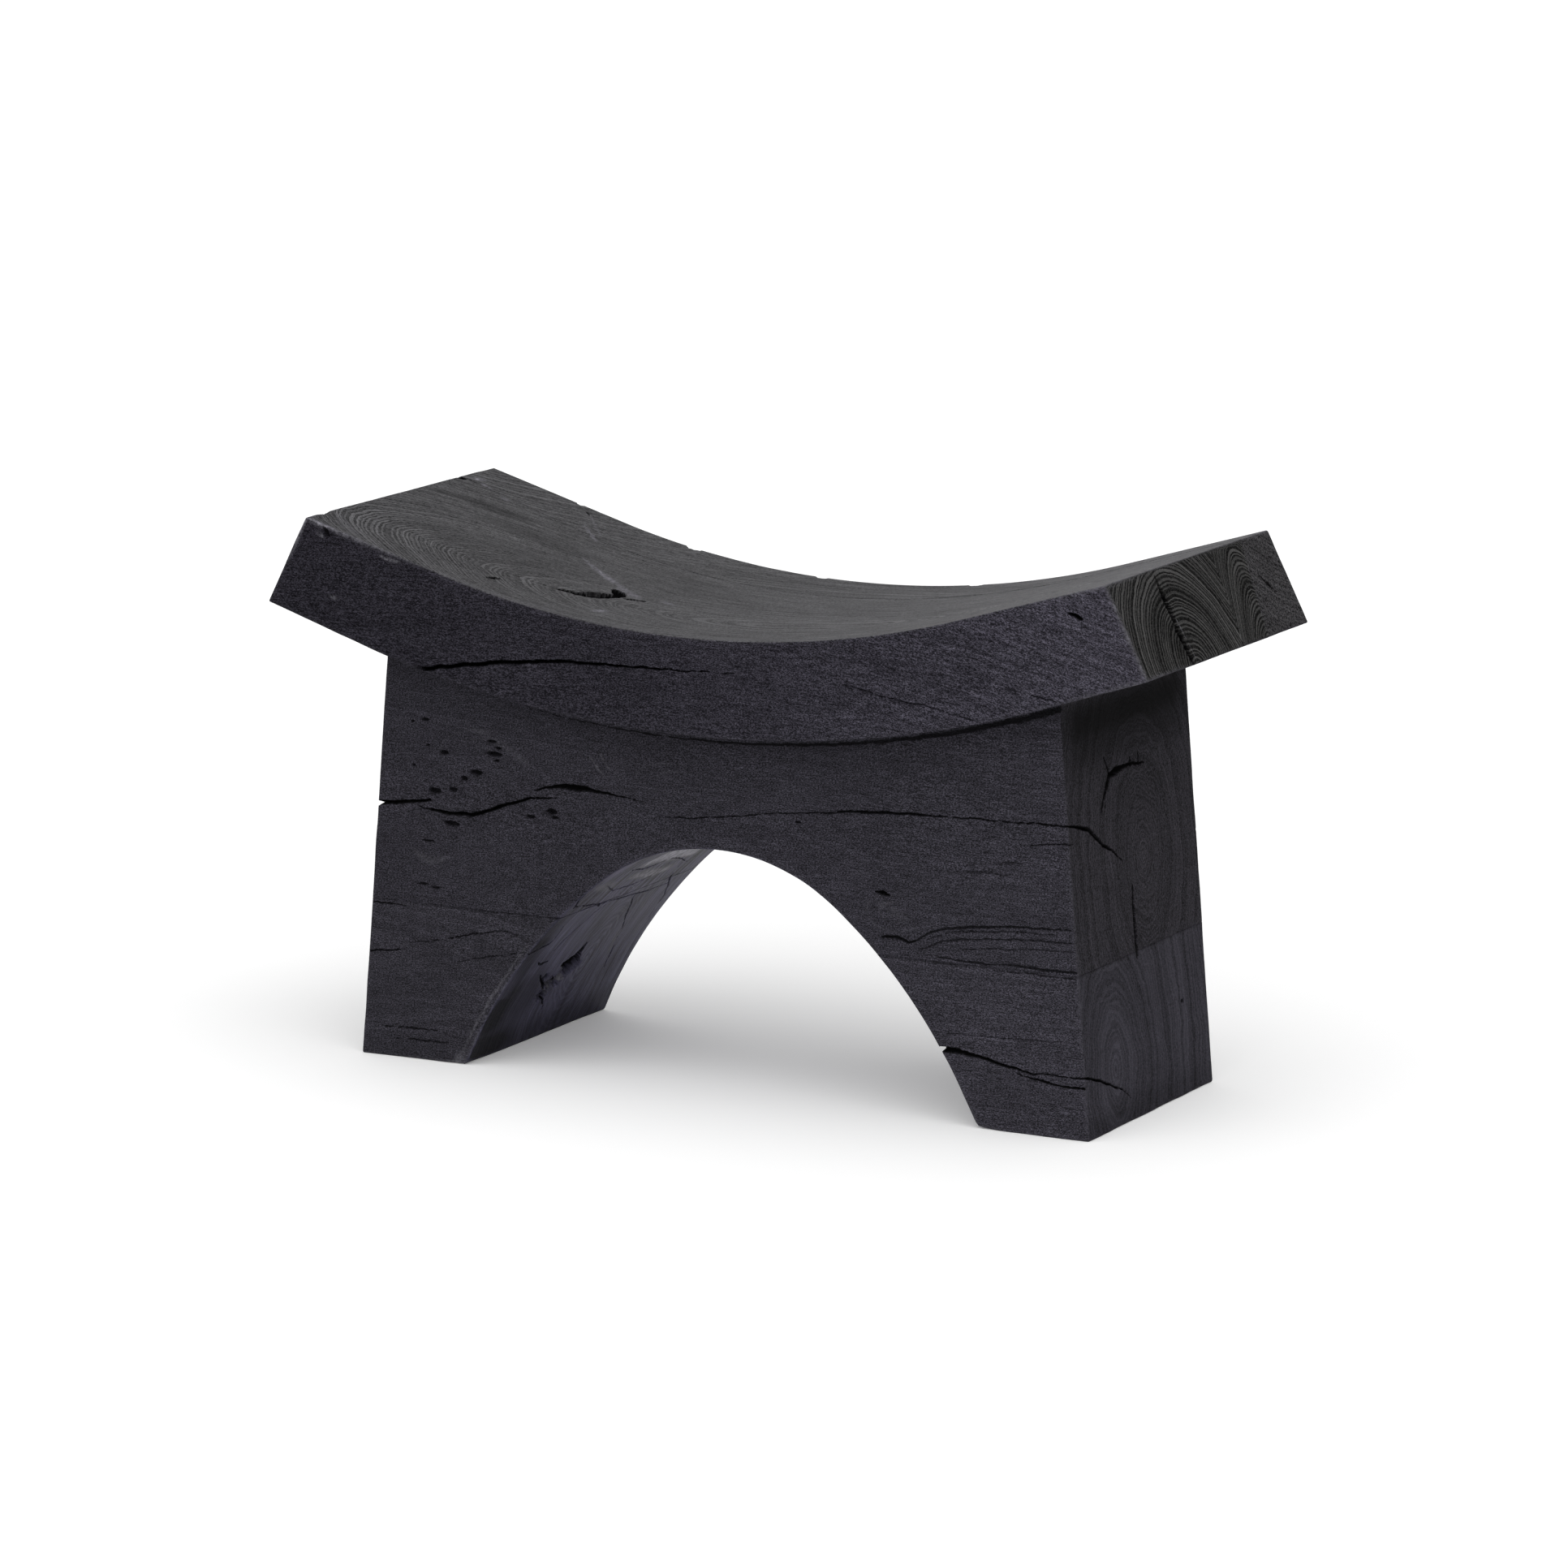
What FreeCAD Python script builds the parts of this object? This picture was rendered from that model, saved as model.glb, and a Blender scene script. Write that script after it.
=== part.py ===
import FreeCAD, Part
import math
import os

# A low stool of blackened reclaimed timber, in millimetres and degrees.
# X runs along the stool, Y from its front to its rear, and Z up from the floor.
# The origin lies on the floor, under the middle of the stool.

# Seat: a thick saddle, sawn from two staves that are glued edge to edge.
seat_length = 686.0              # over the lower edges of its two ends
seat_end_setback = 32.0          # how far an end leans in from its lower to its upper edge
seat_depth = 264.0
seat_middle_height = 329.0       # from the floor to the lowest line of the saddle
seat_middle_thickness = 69.0
saddle_radius = 716.0            # the hollow of the upper face
saddle_arc_width = 408.0         # beyond this width the upper face runs on straight
belly_radius = 859.0             # the belly of the lower face
belly_arc_width = 532.0          # beyond this width the lower face runs on straight
rear_stave_width = 48.0          # at the upper edge of the seat's ends
seam_lean = 17.2                 # angle of the glue seam from upright
seat_edge_bevel = 2.0            # edges are eased all round

# Base: an arched beam on two foot blocks, with its ends sloping out to the floor.
base_length = 576.0              # over the ends at the floor
base_end_lean = 4.7              # angle of the ends from upright
base_inset = 31.0                # the base's faces stand back from the seat's edges
foot_block_height = 114.0        # up to the glue joint under the beam
base_edge_bevel = 2.0
sole_chamfer = 4.0               # bevel round each foot, so that the sole doesn't splinter

# Arch: one crown arc that runs on into a flatter flank on each side.
arch_crest_height = 175.0
arch_crown_radius = 150.0
arch_crown_turn = 38.4           # angle from the crest to where a flank starts
arch_flank_radius = 365.0

# Dowels: round hardwood pegs, glued into blind holes across every joint.
dowel_diameter = 16.0
dowel_length = 80.0
stave_dowel_length = 60.0
dowel_glue_gap = 0.1             # all round, between a dowel and its hole
dowel_end_gap = 2.0              # between a dowel's end and the bottom of its hole
seat_dowel_place_shares = (-0.295, 0.0, 0.295)            # along the base's length
seat_dowel_row_share = 0.77                               # row spacing in the base's depth
stave_dowel_place_shares = (-0.37, -0.124, 0.124, 0.37)   # along the seat's length
foot_dowel_place_shares = (0.42, 0.78)                    # across the top of a foot block
foot_dowel_row_share = 0.54                               # row spacing in the base's depth

cut_overrun = 10.0               # how far a cutting shape runs past what it cuts

base_depth = seat_depth - 2 * base_inset
seat_underside_height = seat_middle_height - seat_middle_thickness


def point(x, z, y=0.0):
    return FreeCAD.Vector(x, y, z)


def line(start, end):
    return Part.LineSegment(start, end).toShape()


# A saddle curve is an arc about the middle, with a straight run on at each side.
def saddle_height(x, middle_height, radius, arc_width):
    turn = math.asin(arc_width / 2 / radius)
    on_arc = min(abs(x), arc_width / 2)
    arc_rise = radius - math.sqrt(radius ** 2 - on_arc ** 2)
    return middle_height + arc_rise + (abs(x) - on_arc) * math.tan(turn)


def top_height(x):
    return saddle_height(x, seat_middle_height, saddle_radius, saddle_arc_width)


def underside_height(x):
    return saddle_height(x, seat_underside_height, belly_radius, belly_arc_width)


# The three edges of a saddle curve, from left to right.
def saddle_edges(height, half_span, arc_width):
    half_arc = arc_width / 2
    stops = [point(x, height(x)) for x in (-half_span, -half_arc, 0, half_arc, half_span)]
    arc = Part.Arc(stops[1], stops[2], stops[3]).toShape()
    return [line(stops[0], stops[1]), arc, line(stops[3], stops[4])]


# A flat profile in the XZ plane becomes a prism about the XZ plane.
def prism(edges, depth):
    face = Part.Face(Part.Wire(Part.__sortEdges__(edges)))
    solid = face.extrude(FreeCAD.Vector(0, depth, 0))
    solid.translate(FreeCAD.Vector(0, -depth / 2, 0))
    return solid


def closed_outline(points):
    return [line(a, b) for a, b in zip(points, points[1:] + points[:1])]


# The one solid that a boolean leaves, with faces on one surface joined again.
def single(shape):
    return shape.removeSplitter().Solids[0]


def make_seat_blank():
    lower_half = seat_length / 2
    upper_half = lower_half - seat_end_setback
    upper = saddle_edges(top_height, upper_half, saddle_arc_width)
    lower = saddle_edges(underside_height, lower_half, belly_arc_width)
    ends = [line(point(side * lower_half, underside_height(lower_half)),
                 point(side * upper_half, top_height(upper_half))) for side in (-1, 1)]
    blank = prism(upper + lower + ends, seat_depth)
    return blank.makeChamfer(seat_edge_bevel, [edge for edge in blank.Edges if is_outer_corner(edge)])


# Where an arc runs on into a straight there is a line across the surface, but no corner.
def is_outer_corner(edge):
    middle = edge.valueAt((edge.FirstParameter + edge.LastParameter) / 2)
    across = abs(abs(middle.y) - seat_depth / 2) > seat_edge_bevel
    inside_ends = abs(middle.x) < seat_length / 2 - seat_end_setback - seat_edge_bevel
    return not (across and inside_ends)


def seam_place(z):
    upper_corner = top_height(seat_length / 2 - seat_end_setback)
    at_corner = seat_depth / 2 - rear_stave_width
    return at_corner - (upper_corner - z) * math.tan(math.radians(seam_lean))


# The space behind the glue seam, which is a flat plane that leans back.
def make_space_behind_seam():
    low = seat_underside_height - cut_overrun
    high = top_height(seat_length / 2) + cut_overrun
    rear = seat_depth / 2 + cut_overrun
    start = -seat_length / 2 - cut_overrun
    corners = [point(start, low, seam_place(low)), point(start, low, rear),
               point(start, high, rear), point(start, high, seam_place(high))]
    face = Part.Face(Part.Wire(closed_outline(corners)))
    return face.extrude(FreeCAD.Vector(seat_length + 2 * cut_overrun, 0, 0))


def base_half_length(z):
    return base_length / 2 - z * math.tan(math.radians(base_end_lean))


# Where the flank's circle has its middle: on the line from the crown's end through the crown's middle.
def flank_centre():
    turn = math.radians(arch_crown_turn)
    shift = arch_flank_radius - arch_crown_radius
    return -shift * math.sin(turn), arch_crest_height - arch_crown_radius - shift * math.cos(turn)


def arch_half_width(z):
    centre_x, centre_z = flank_centre()
    return centre_x + math.sqrt(arch_flank_radius ** 2 - (z - centre_z) ** 2)


def arch_flank(side):
    centre_x, centre_z = flank_centre()
    turn = math.radians(arch_crown_turn)
    floor_turn = math.acos(-centre_z / arch_flank_radius)
    stops = [point(side * (centre_x + arch_flank_radius * math.sin(angle)),
                   centre_z + arch_flank_radius * math.cos(angle))
             for angle in (turn, (turn + floor_turn) / 2, floor_turn)]
    return stops, Part.Arc(*stops).toShape()


# The whole base in one piece, up to a flat top that the seat is let into.
def make_base_blank():
    height = underside_height(base_half_length(seat_underside_height)) + cut_overrun
    left_stops, left_flank = arch_flank(-1)
    right_stops, right_flank = arch_flank(1)
    crown = Part.Arc(left_stops[0], point(0, arch_crest_height), right_stops[0]).toShape()
    around = [left_stops[-1], point(-base_length / 2, 0), point(-base_half_length(height), height),
              point(base_half_length(height), height), point(base_length / 2, 0), right_stops[-1]]
    sides = [line(a, b) for a, b in zip(around, around[1:])]
    blank = prism(sides + [left_flank, crown, right_flank], base_depth)
    blank = blank.makeChamfer(sole_chamfer, [edge for edge in blank.Edges if edge.BoundBox.ZMax < sole_chamfer])
    return blank.makeChamfer(base_edge_bevel, [edge for edge in blank.Edges if is_base_corner(edge, height)])


# The long corners of the base: its four uprights, both rims of the arch and their ends in the sole's bevel.
def is_base_corner(edge, height):
    middle = edge.valueAt((edge.FirstParameter + edge.LastParameter) / 2)
    on_face = abs(abs(middle.y) - base_depth / 2) < base_edge_bevel
    level = edge.BoundBox.ZLength < base_edge_bevel
    return on_face and not level and middle.z < height - base_edge_bevel


# What the seat's underside cuts off the base, so that the two meet face to face.
def make_space_above_underside():
    half_span = base_length / 2
    high = underside_height(half_span) + seat_middle_thickness
    lower = saddle_edges(underside_height, half_span, belly_arc_width)
    left, right = point(-half_span, underside_height(half_span)), point(half_span, underside_height(half_span))
    roof = [line(left, point(-half_span, high)), line(point(-half_span, high), point(half_span, high)),
            line(point(half_span, high), right)]
    return prism(lower + roof, base_depth + 2 * cut_overrun)


def make_foot_space(side):
    start = 0 if side > 0 else -base_length / 2 - cut_overrun
    corner = point(start, -cut_overrun, -base_depth / 2 - cut_overrun)
    return Part.makeBox(base_length / 2 + cut_overrun, base_depth + 2 * cut_overrun,
                        foot_block_height + cut_overrun, corner)


# A dowel and the hole that it is glued into, both about the middle of a joint.
def make_dowel(middle, direction, length):
    return place_along(Part.makeCylinder(dowel_diameter / 2, length), middle, direction, length)


def make_dowel_hole(middle, direction, length):
    deep = length + 2 * dowel_end_gap
    return place_along(Part.makeCylinder(dowel_diameter / 2 + dowel_glue_gap, deep), middle, direction, deep)


def place_along(shape, middle, direction, length):
    turn = FreeCAD.Rotation(FreeCAD.Vector(0, 0, 1), direction)
    shape.Placement = FreeCAD.Placement(middle - direction * (length / 2), turn)
    return shape


# Every dowel as a name, the middle of it, its direction, its length and the two pieces that it joins.
def list_seat_dowels():
    up = FreeCAD.Vector(0, 0, 1)
    rows = (("front", -1, "seat_main_stave"), ("rear", 1, "seat_rear_stave"))
    for row_name, row_side, stave in rows:
        for number, share in enumerate(seat_dowel_place_shares, 1):
            x = share * base_length
            y = row_side * seat_dowel_row_share * base_depth / 2
            yield (f"seat_dowel_{row_name}_{number}", point(x, underside_height(x), y), up,
                   dowel_length, (stave, "arch_beam"))


def list_stave_dowels():
    lean = math.radians(seam_lean)
    across = FreeCAD.Vector(0, math.cos(lean), -math.sin(lean))
    for number, share in enumerate(stave_dowel_place_shares, 1):
        x = share * seat_length
        z = (top_height(x) + underside_height(x)) / 2
        yield (f"stave_dowel_{number}", point(x, z, seam_place(z)), across,
               stave_dowel_length, ("seat_main_stave", "seat_rear_stave"))


def list_foot_dowels():
    up = FreeCAD.Vector(0, 0, 1)
    inner = arch_half_width(foot_block_height)
    outer = base_half_length(foot_block_height)
    places = [(inner + share * (outer - inner), row * foot_dowel_row_share * base_depth / 2)
              for share in foot_dowel_place_shares for row in (-1, 1)]
    for side_name, side in (("left", -1), ("right", 1)):
        for number, (x, y) in enumerate(places, 1):
            yield (f"{side_name}_foot_dowel_{number}", point(side * x, foot_block_height, y), up,
                   dowel_length, (f"{side_name}_foot", "arch_beam"))


def make_timbers():
    seat = make_seat_blank()
    behind_seam = make_space_behind_seam()
    base = make_base_blank().cut(make_space_above_underside())
    left_space = make_foot_space(-1)
    right_space = make_foot_space(1)
    return {
        "seat_main_stave": single(seat.cut(behind_seam)),
        "seat_rear_stave": single(seat.common(behind_seam)),
        "arch_beam": single(base.cut(left_space).cut(right_space)),
        "left_foot": single(base.common(left_space)),
        "right_foot": single(base.common(right_space)),
    }


def make_stool():
    pieces = make_timbers()
    dowels = list(list_seat_dowels()) + list(list_stave_dowels()) + list(list_foot_dowels())
    for name, middle, direction, length, joined in dowels:
        hole = make_dowel_hole(middle, direction, length)
        for timber in joined:
            pieces[timber] = single(pieces[timber].cut(hole))
    for name, middle, direction, length, joined in dowels:
        pieces[name] = make_dowel(middle, direction, length)
    return pieces


def main():
    os.makedirs("parts", exist_ok=True)
    pieces = make_stool()
    for name, shape in pieces.items():
        shape.exportStep(f"parts/{name}.step")
        box = shape.optimalBoundingBox()
        print(f"{name}: {len(shape.Solids)} solid, {shape.Volume / 1000:.1f} cm3, "
              f"x {box.XMin:.1f} to {box.XMax:.1f}, y {box.YMin:.1f} to {box.YMax:.1f}, "
              f"z {box.ZMin:.1f} to {box.ZMax:.1f}")
    print(f"{len(pieces)} pieces")


main()
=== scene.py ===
import itertools
import math

import bpy
import numpy as np
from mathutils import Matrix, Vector


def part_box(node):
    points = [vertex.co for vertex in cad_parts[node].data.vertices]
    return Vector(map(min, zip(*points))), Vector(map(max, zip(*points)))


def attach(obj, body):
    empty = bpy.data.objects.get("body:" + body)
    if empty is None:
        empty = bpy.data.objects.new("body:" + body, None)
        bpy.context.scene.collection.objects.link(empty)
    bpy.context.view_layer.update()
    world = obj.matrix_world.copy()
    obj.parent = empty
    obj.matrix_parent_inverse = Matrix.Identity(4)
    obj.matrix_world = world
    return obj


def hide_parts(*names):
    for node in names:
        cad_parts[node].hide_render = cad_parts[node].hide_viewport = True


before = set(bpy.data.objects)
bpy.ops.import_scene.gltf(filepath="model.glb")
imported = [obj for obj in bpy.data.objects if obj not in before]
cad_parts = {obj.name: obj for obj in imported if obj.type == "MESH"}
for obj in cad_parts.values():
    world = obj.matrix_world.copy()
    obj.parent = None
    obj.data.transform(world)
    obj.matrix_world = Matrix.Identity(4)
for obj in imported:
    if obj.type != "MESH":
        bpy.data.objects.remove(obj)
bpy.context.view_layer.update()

mm = 0.001  # sizes below are in millimetres; a mesh gets them times this

# Camera at the photograph's viewing angle: a long lens, just above seat height, well round to the right end.
cameraView = {
    "target": (-0.1, 0.0, 204.5),
    "azimuth": 27.85,      # degrees round from the front
    "elevation": 11.07,
    "distance": 5172.0,
    "lens": 168.7,         # on a 36 mm sensor
    "sensor": 36.0,
    "nearest": 100.0,
    "farthest": 90000.0,
}


def placeCamera(view):
    azimuth, elevation = math.radians(view["azimuth"]), math.radians(view["elevation"])
    back = Vector((math.sin(azimuth) * math.cos(elevation), -math.cos(azimuth) * math.cos(elevation),
                   math.sin(elevation)))
    camera = bpy.data.objects.new("studioCamera", bpy.data.cameras.new("studioCamera"))
    camera.location = (Vector(view["target"]) + back * view["distance"]) * mm
    camera.rotation_euler = back.to_track_quat("Z", "Y").to_euler()
    camera.data.lens = view["lens"]
    camera.data.sensor_width = view["sensor"]
    camera.data.clip_start = view["nearest"] * mm
    camera.data.clip_end = view["farthest"] * mm
    bpy.context.scene.collection.objects.link(camera)
    bpy.context.scene.camera = camera


placeCamera(cameraView)
print("camera placed")


def cadBox(node):
    return [np.array(corner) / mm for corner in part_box(node)]


# The stool's own sizes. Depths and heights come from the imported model, and the curves are repeated here.
seatLow, rearHigh = cadBox("seat_main_stave")[0], cadBox("seat_rear_stave")[1]
beamLow, beamHigh = cadBox("arch_beam")
seat = {
    "lowerHalf": 343.0,        # half the length over the lower edges of the ends
    "upperHalf": 311.0,
    "front": seatLow[1],
    "rear": rearHigh[1],
    "topMiddle": 329.0,        # height of the saddle's lowest line
    "topRadius": 716.0,
    "topArc": 204.0,           # half the width of the arc, a straight runs on from there
    "bellyMiddle": seatLow[2],
    "bellyRadius": 859.0,
    "bellyArc": 266.0,
    "seamAtCorner": 84.0,      # the glue seam's place at the upper edge of the ends
    "seamLean": math.tan(math.radians(17.2)),
}
base = {
    "floorHalf": 288.0,
    "endLean": math.tan(math.radians(4.7)),
    "front": beamLow[1],
    "rear": beamHigh[1],
    "joint": beamLow[2],       # height of the joint between the beam and the feet
    "crest": 175.0,
    "crownRadius": 150.0,
    "crownTurn": math.radians(38.4),
    "flankRadius": 365.0,
}
base["crownZ"] = base["crest"] - base["crownRadius"]
base["flankX"] = -(base["flankRadius"] - base["crownRadius"]) * math.sin(base["crownTurn"])
base["flankZ"] = base["crownZ"] - (base["flankRadius"] - base["crownRadius"]) * math.cos(base["crownTurn"])


# Height of a saddle curve: an arc about the middle, with a straight run on at each side.
def saddleHeight(x, middle, radius, halfArc):
    onArc = np.minimum(np.abs(x), halfArc)
    slope = halfArc / math.sqrt(radius ** 2 - halfArc ** 2)
    return middle + radius - np.sqrt(radius ** 2 - onArc ** 2) + (np.abs(x) - onArc) * slope


def topHeight(x):
    return saddleHeight(x, seat["topMiddle"], seat["topRadius"], seat["topArc"])


def bellyHeight(x):
    return saddleHeight(x, seat["bellyMiddle"], seat["bellyRadius"], seat["bellyArc"])


# The seam is a plane that leans back: its place in y grows with height.
def seamPlace(z):
    return seat["seamAtCorner"] - (topHeight(seat["upperHalf"]) - z) * seat["seamLean"]


def endPlace(z):
    return base["floorHalf"] - z * base["endLean"]


def flankPlace(z):
    return base["flankX"] + np.sqrt(base["flankRadius"] ** 2 - (z - base["flankZ"]) ** 2)


# Share of the way across a block: in a band along each face a step is a true length, and between them it is
# stretched to fit.
def trueShare(step, length, real, band=12.0):
    near, far = step / real, 1 - (length - step) / real
    between = band / real + (step - band) / (length - 2 * band) * (1 - 2 * band / real)
    return np.where(step < band, near, np.where(step > length - band, far, between))


def mix(a, b, share):
    return a + (b - a) * share


# Seat: the lower and upper curves run from end to end, and every point lies on the line between them.
def seatPoint(q, size, frontOf, rearOf):
    along = q[:, 0] / size[0] * 2 - 1
    lowX, highX = along * seat["lowerHalf"], along * seat["upperHalf"]
    lowZ, highZ = bellyHeight(lowX), topHeight(highX)
    up = trueShare(q[:, 2], size[2], highZ - lowZ)
    z = mix(lowZ, highZ, up)
    front, rear = frontOf(z), rearOf(z)
    y = mix(front, rear, trueShare(q[:, 1], size[1], rear - front))
    return np.stack((mix(lowX, highX, up), y, z), 1)


def mainStavePoint(q, size):
    return seatPoint(q, size, lambda z: seat["front"] + 0 * z, seamPlace)


def rearStavePoint(q, size):
    return seatPoint(q, size, seamPlace, lambda z: seat["rear"] + 0 * z)


# Beam: its lower line is a joint, the arch and a joint; its upper line is the seat's belly.
springX = float(flankPlace(base["joint"]))
crownHalf = base["crownRadius"] * base["crownTurn"]
springTurn = math.acos((base["joint"] - base["flankZ"]) / base["flankRadius"])
archHalf = crownHalf + base["flankRadius"] * (springTurn - base["crownTurn"])
jointHalf = float(endPlace(base["joint"]))


def beamPoint(q, size):
    fromMiddle = q[:, 0] - size[0] / 2
    side, far = np.sign(fromMiddle), np.abs(fromMiddle)
    crownAngle = np.minimum(far, crownHalf) / base["crownRadius"]
    flankAngle = base["crownTurn"] + (np.clip(far, crownHalf, archHalf) - crownHalf) / base["flankRadius"]
    onCrown = far < crownHalf
    lowX = np.where(onCrown, base["crownRadius"] * np.sin(crownAngle),
                    base["flankX"] + base["flankRadius"] * np.sin(flankAngle))
    lowZ = np.where(onCrown, base["crownZ"] + base["crownRadius"] * np.cos(crownAngle),
                    base["flankZ"] + base["flankRadius"] * np.cos(flankAngle))
    lowX = side * (lowX + np.maximum(far - archHalf, 0))
    beamTop = float(endPlace(bellyHeight(endPlace(beamHigh[2]))))
    highX = side * np.interp(far, (0, archHalf, size[0] / 2), (0, springX, beamTop))
    highZ = bellyHeight(highX)
    up = trueShare(q[:, 2], size[2], highZ - lowZ)
    y = mix(base["front"], base["rear"], q[:, 1] / size[1])
    return np.stack((mix(lowX, highX, up), y, mix(lowZ, highZ, up)), 1)


# Foot: from its sloping outer end to the flank of the arch, at every height.
def footPoint(q, size, side):
    z = q[:, 2] / size[2] * base["joint"]
    outer, inner = endPlace(z), flankPlace(z)
    across = trueShare(q[:, 0], size[0], outer - inner)
    x = mix(-outer, -inner, across) if side < 0 else mix(inner, outer, across)
    y = mix(base["front"], base["rear"], q[:, 1] / size[1])
    return np.stack((x, y, z), 1)


# A block's lattice runs over the six sides of a box that measures size; points on its edges are shared.
def boxLattice(steps):
    counts = [len(step) for step in steps]
    quads = []
    for axis, high in itertools.product(range(3), (False, True)):
        u, v = (axis + 1) % 3, (axis + 2) % 3
        i, j = np.meshgrid(np.arange(counts[u] - 1), np.arange(counts[v] - 1), indexing="ij")
        corners = []
        for du, dv in ((0, 0), (1, 0), (1, 1), (0, 1)) if high else ((0, 0), (0, 1), (1, 1), (1, 0)):
            index = [None] * 3
            index[axis] = np.full(i.size, counts[axis] - 1 if high else 0)
            index[u], index[v] = (i + du).ravel(), (j + dv).ravel()
            corners.append((index[0] * counts[1] + index[1]) * counts[2] + index[2])
        quads.append(np.stack(corners, 1))
    used, quads = np.unique(np.concatenate(quads), return_inverse=True)
    quads = quads.reshape(-1, 4)
    q = np.stack((steps[0][used // (counts[1] * counts[2])], steps[1][used // counts[2] % counts[1]],
                  steps[2][used % counts[2]]), 1)
    return q, np.concatenate((quads[:, [0, 1, 2]], quads[:, [0, 2, 3]]))


# Places along one side of the box: close together where its two edges are eased, even between.
def sideSteps(length, lowEase, highEase, spacing):
    rise = np.array((0, 0.3, 0.65, 1.0))
    count = max(int(round(length / spacing)), 2)
    middle = np.linspace(lowEase, length - highEase, count + 1)[1:-1]
    return np.concatenate((rise * lowEase, middle, length - rise[::-1] * highEase))


# Rounds the box's edges: what lies within an easing of two sides is pushed onto a quarter ellipse about the
# inner box, and a corner onto part of an ellipsoid.
def easeEdges(q, size, lowEase, highEase):
    inner = np.clip(q, lowEase, size - highEase)
    out = q - inner
    reach = np.where(out < 0, lowEase, highEase)
    unit = out / reach
    return inner + reach * unit / np.maximum(np.linalg.norm(unit, axis=1), 1e-9)[:, None]


# Large primes, which scatter the numbers of neighbouring cells.
scatter = {"cell": (73856093, 19349663, 83492791), "seed": 2654435761, "mix": 1274126177}


# Smooth noise from -1 to 1: random values on a lattice of cells of unit size, mixed by smooth steps.
def smoothNoise(p, seed):
    cell = np.floor(p).astype(np.int64)
    step = p - cell
    step = step * step * (3 - 2 * step)
    total = np.zeros(len(p))
    for corner in itertools.product((0, 1), repeat=3):
        code = np.bitwise_xor.reduce((cell + corner) * scatter["cell"], axis=1) ^ (seed * scatter["seed"])
        code = (code ^ (code >> 13)) * scatter["mix"] & 0x7FFFFFFF
        value = ((code ^ (code >> 16)) & 0xFFFF) / 32767.5 - 1
        total += value * np.prod(np.where(corner, step, 1 - step), axis=1)
    return total


def makeMesh(name, points, tris, smooth=True):
    mesh = bpy.data.meshes.new(name)
    mesh.vertices.add(len(points))
    mesh.vertices.foreach_set("co", (points * mm).astype(np.float32).ravel())
    mesh.loops.add(tris.size)
    mesh.loops.foreach_set("vertex_index", tris.astype(np.int32).ravel())
    mesh.polygons.add(len(tris))
    mesh.polygons.foreach_set("loop_start", np.arange(0, tris.size, 3, dtype=np.int32))
    mesh.polygons.foreach_set("use_smooth", np.broadcast_to(smooth, len(tris)).copy())
    mesh.update(calc_edges=True)
    mesh.validate()
    piece = bpy.data.objects.new(name, mesh)
    bpy.context.scene.collection.objects.link(piece)
    return piece


def lengths(v):
    return np.sqrt(np.einsum("ij,ij->i", v, v))


pointLimit = 1 << 24  # more points than any piece has, so that two point numbers make one edge number


# Splits every edge that is longer than wanted, and the longest edge of each triangle touched, until none is.
# An edge found short enough is not looked at again. The slack is how much longer than wanted an edge may be.
def refine(q, tris, placeOf, wantedOf, rounds=14, slack=1.3):
    place, settled = placeOf(q), np.zeros(0, np.int64)
    for _ in range(rounds):
        starts, stops = tris.T.ravel(), np.roll(tris, -1, axis=1).T.ravel()
        code = np.minimum(starts, stops) * pointLimit + np.maximum(starts, stops)
        edges, edgeOf = np.unique(code, return_inverse=True)
        edgeOf = edgeOf.reshape(3, -1)
        ends = np.stack((edges // pointLimit, edges % pointLimit), 1)
        length = lengths(place[ends[:, 0]] - place[ends[:, 1]])
        middle = (q[ends[:, 0]] + q[ends[:, 1]]) / 2
        fresh = np.flatnonzero(~np.isin(edges, settled, assume_unique=True))
        split = np.zeros(len(edges), bool)
        between = (place[ends[fresh, 0]] + place[ends[fresh, 1]]) / 2
        split[fresh] = length[fresh] > slack * wantedOf(middle[fresh], between)
        if not split.any():
            break
        settled = edges[~split]
        longest = np.argmax(length[edgeOf], axis=0)
        longestEdge = edgeOf[longest, np.arange(len(tris))]
        while True:
            missing = split[edgeOf].any(axis=0) & ~split[longestEdge]
            if not missing.any():
                break
            split[longestEdge[missing]] = True
        newPoint = np.cumsum(split) - 1 + len(q)
        q = np.concatenate((q, middle[split]))
        place = np.concatenate((place, placeOf(middle[split])))
        order = (longest + np.arange(3)[:, None]) % 3  # corners and edges, from the longest edge on
        a, b, c = (tris[np.arange(len(tris)), order[k]] for k in range(3))
        ab, bc, ca = (edgeOf[order[k], np.arange(len(tris))] for k in range(3))
        cut = split[ab]
        cutB, cutC = cut & split[bc], cut & split[ca]
        m, mb, mc = newPoint[ab], newPoint[bc], newPoint[ca]
        parts = [(~cut, (a, b, c)),
                 (cut & ~cutC, (a, m, c)), (cutC, (a, m, mc)), (cutC, (m, c, mc)),
                 (cut & ~cutB, (m, b, c)), (cutB, (m, b, mb)), (cutB, (m, mb, c))]
        tris = np.concatenate([np.stack(three, 1)[which] for which, three in parts])
    return q, tris


def cornerNormals(points, tris):
    a, b, c = (points[tris[:, k]] for k in range(3))
    across = np.cross(b - a, c - a)
    total = np.stack([np.bincount(tris.ravel(), np.repeat(part, 3), len(points)) for part in across.T], 1)
    return total / np.maximum(lengths(total), 1e-12)[:, None]


def seatEnd(z):
    low, high = bellyHeight(seat["lowerHalf"]), topHeight(seat["upperHalf"])
    return mix(seat["lowerHalf"], seat["upperHalf"], (z - low) / (high - low))


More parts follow.
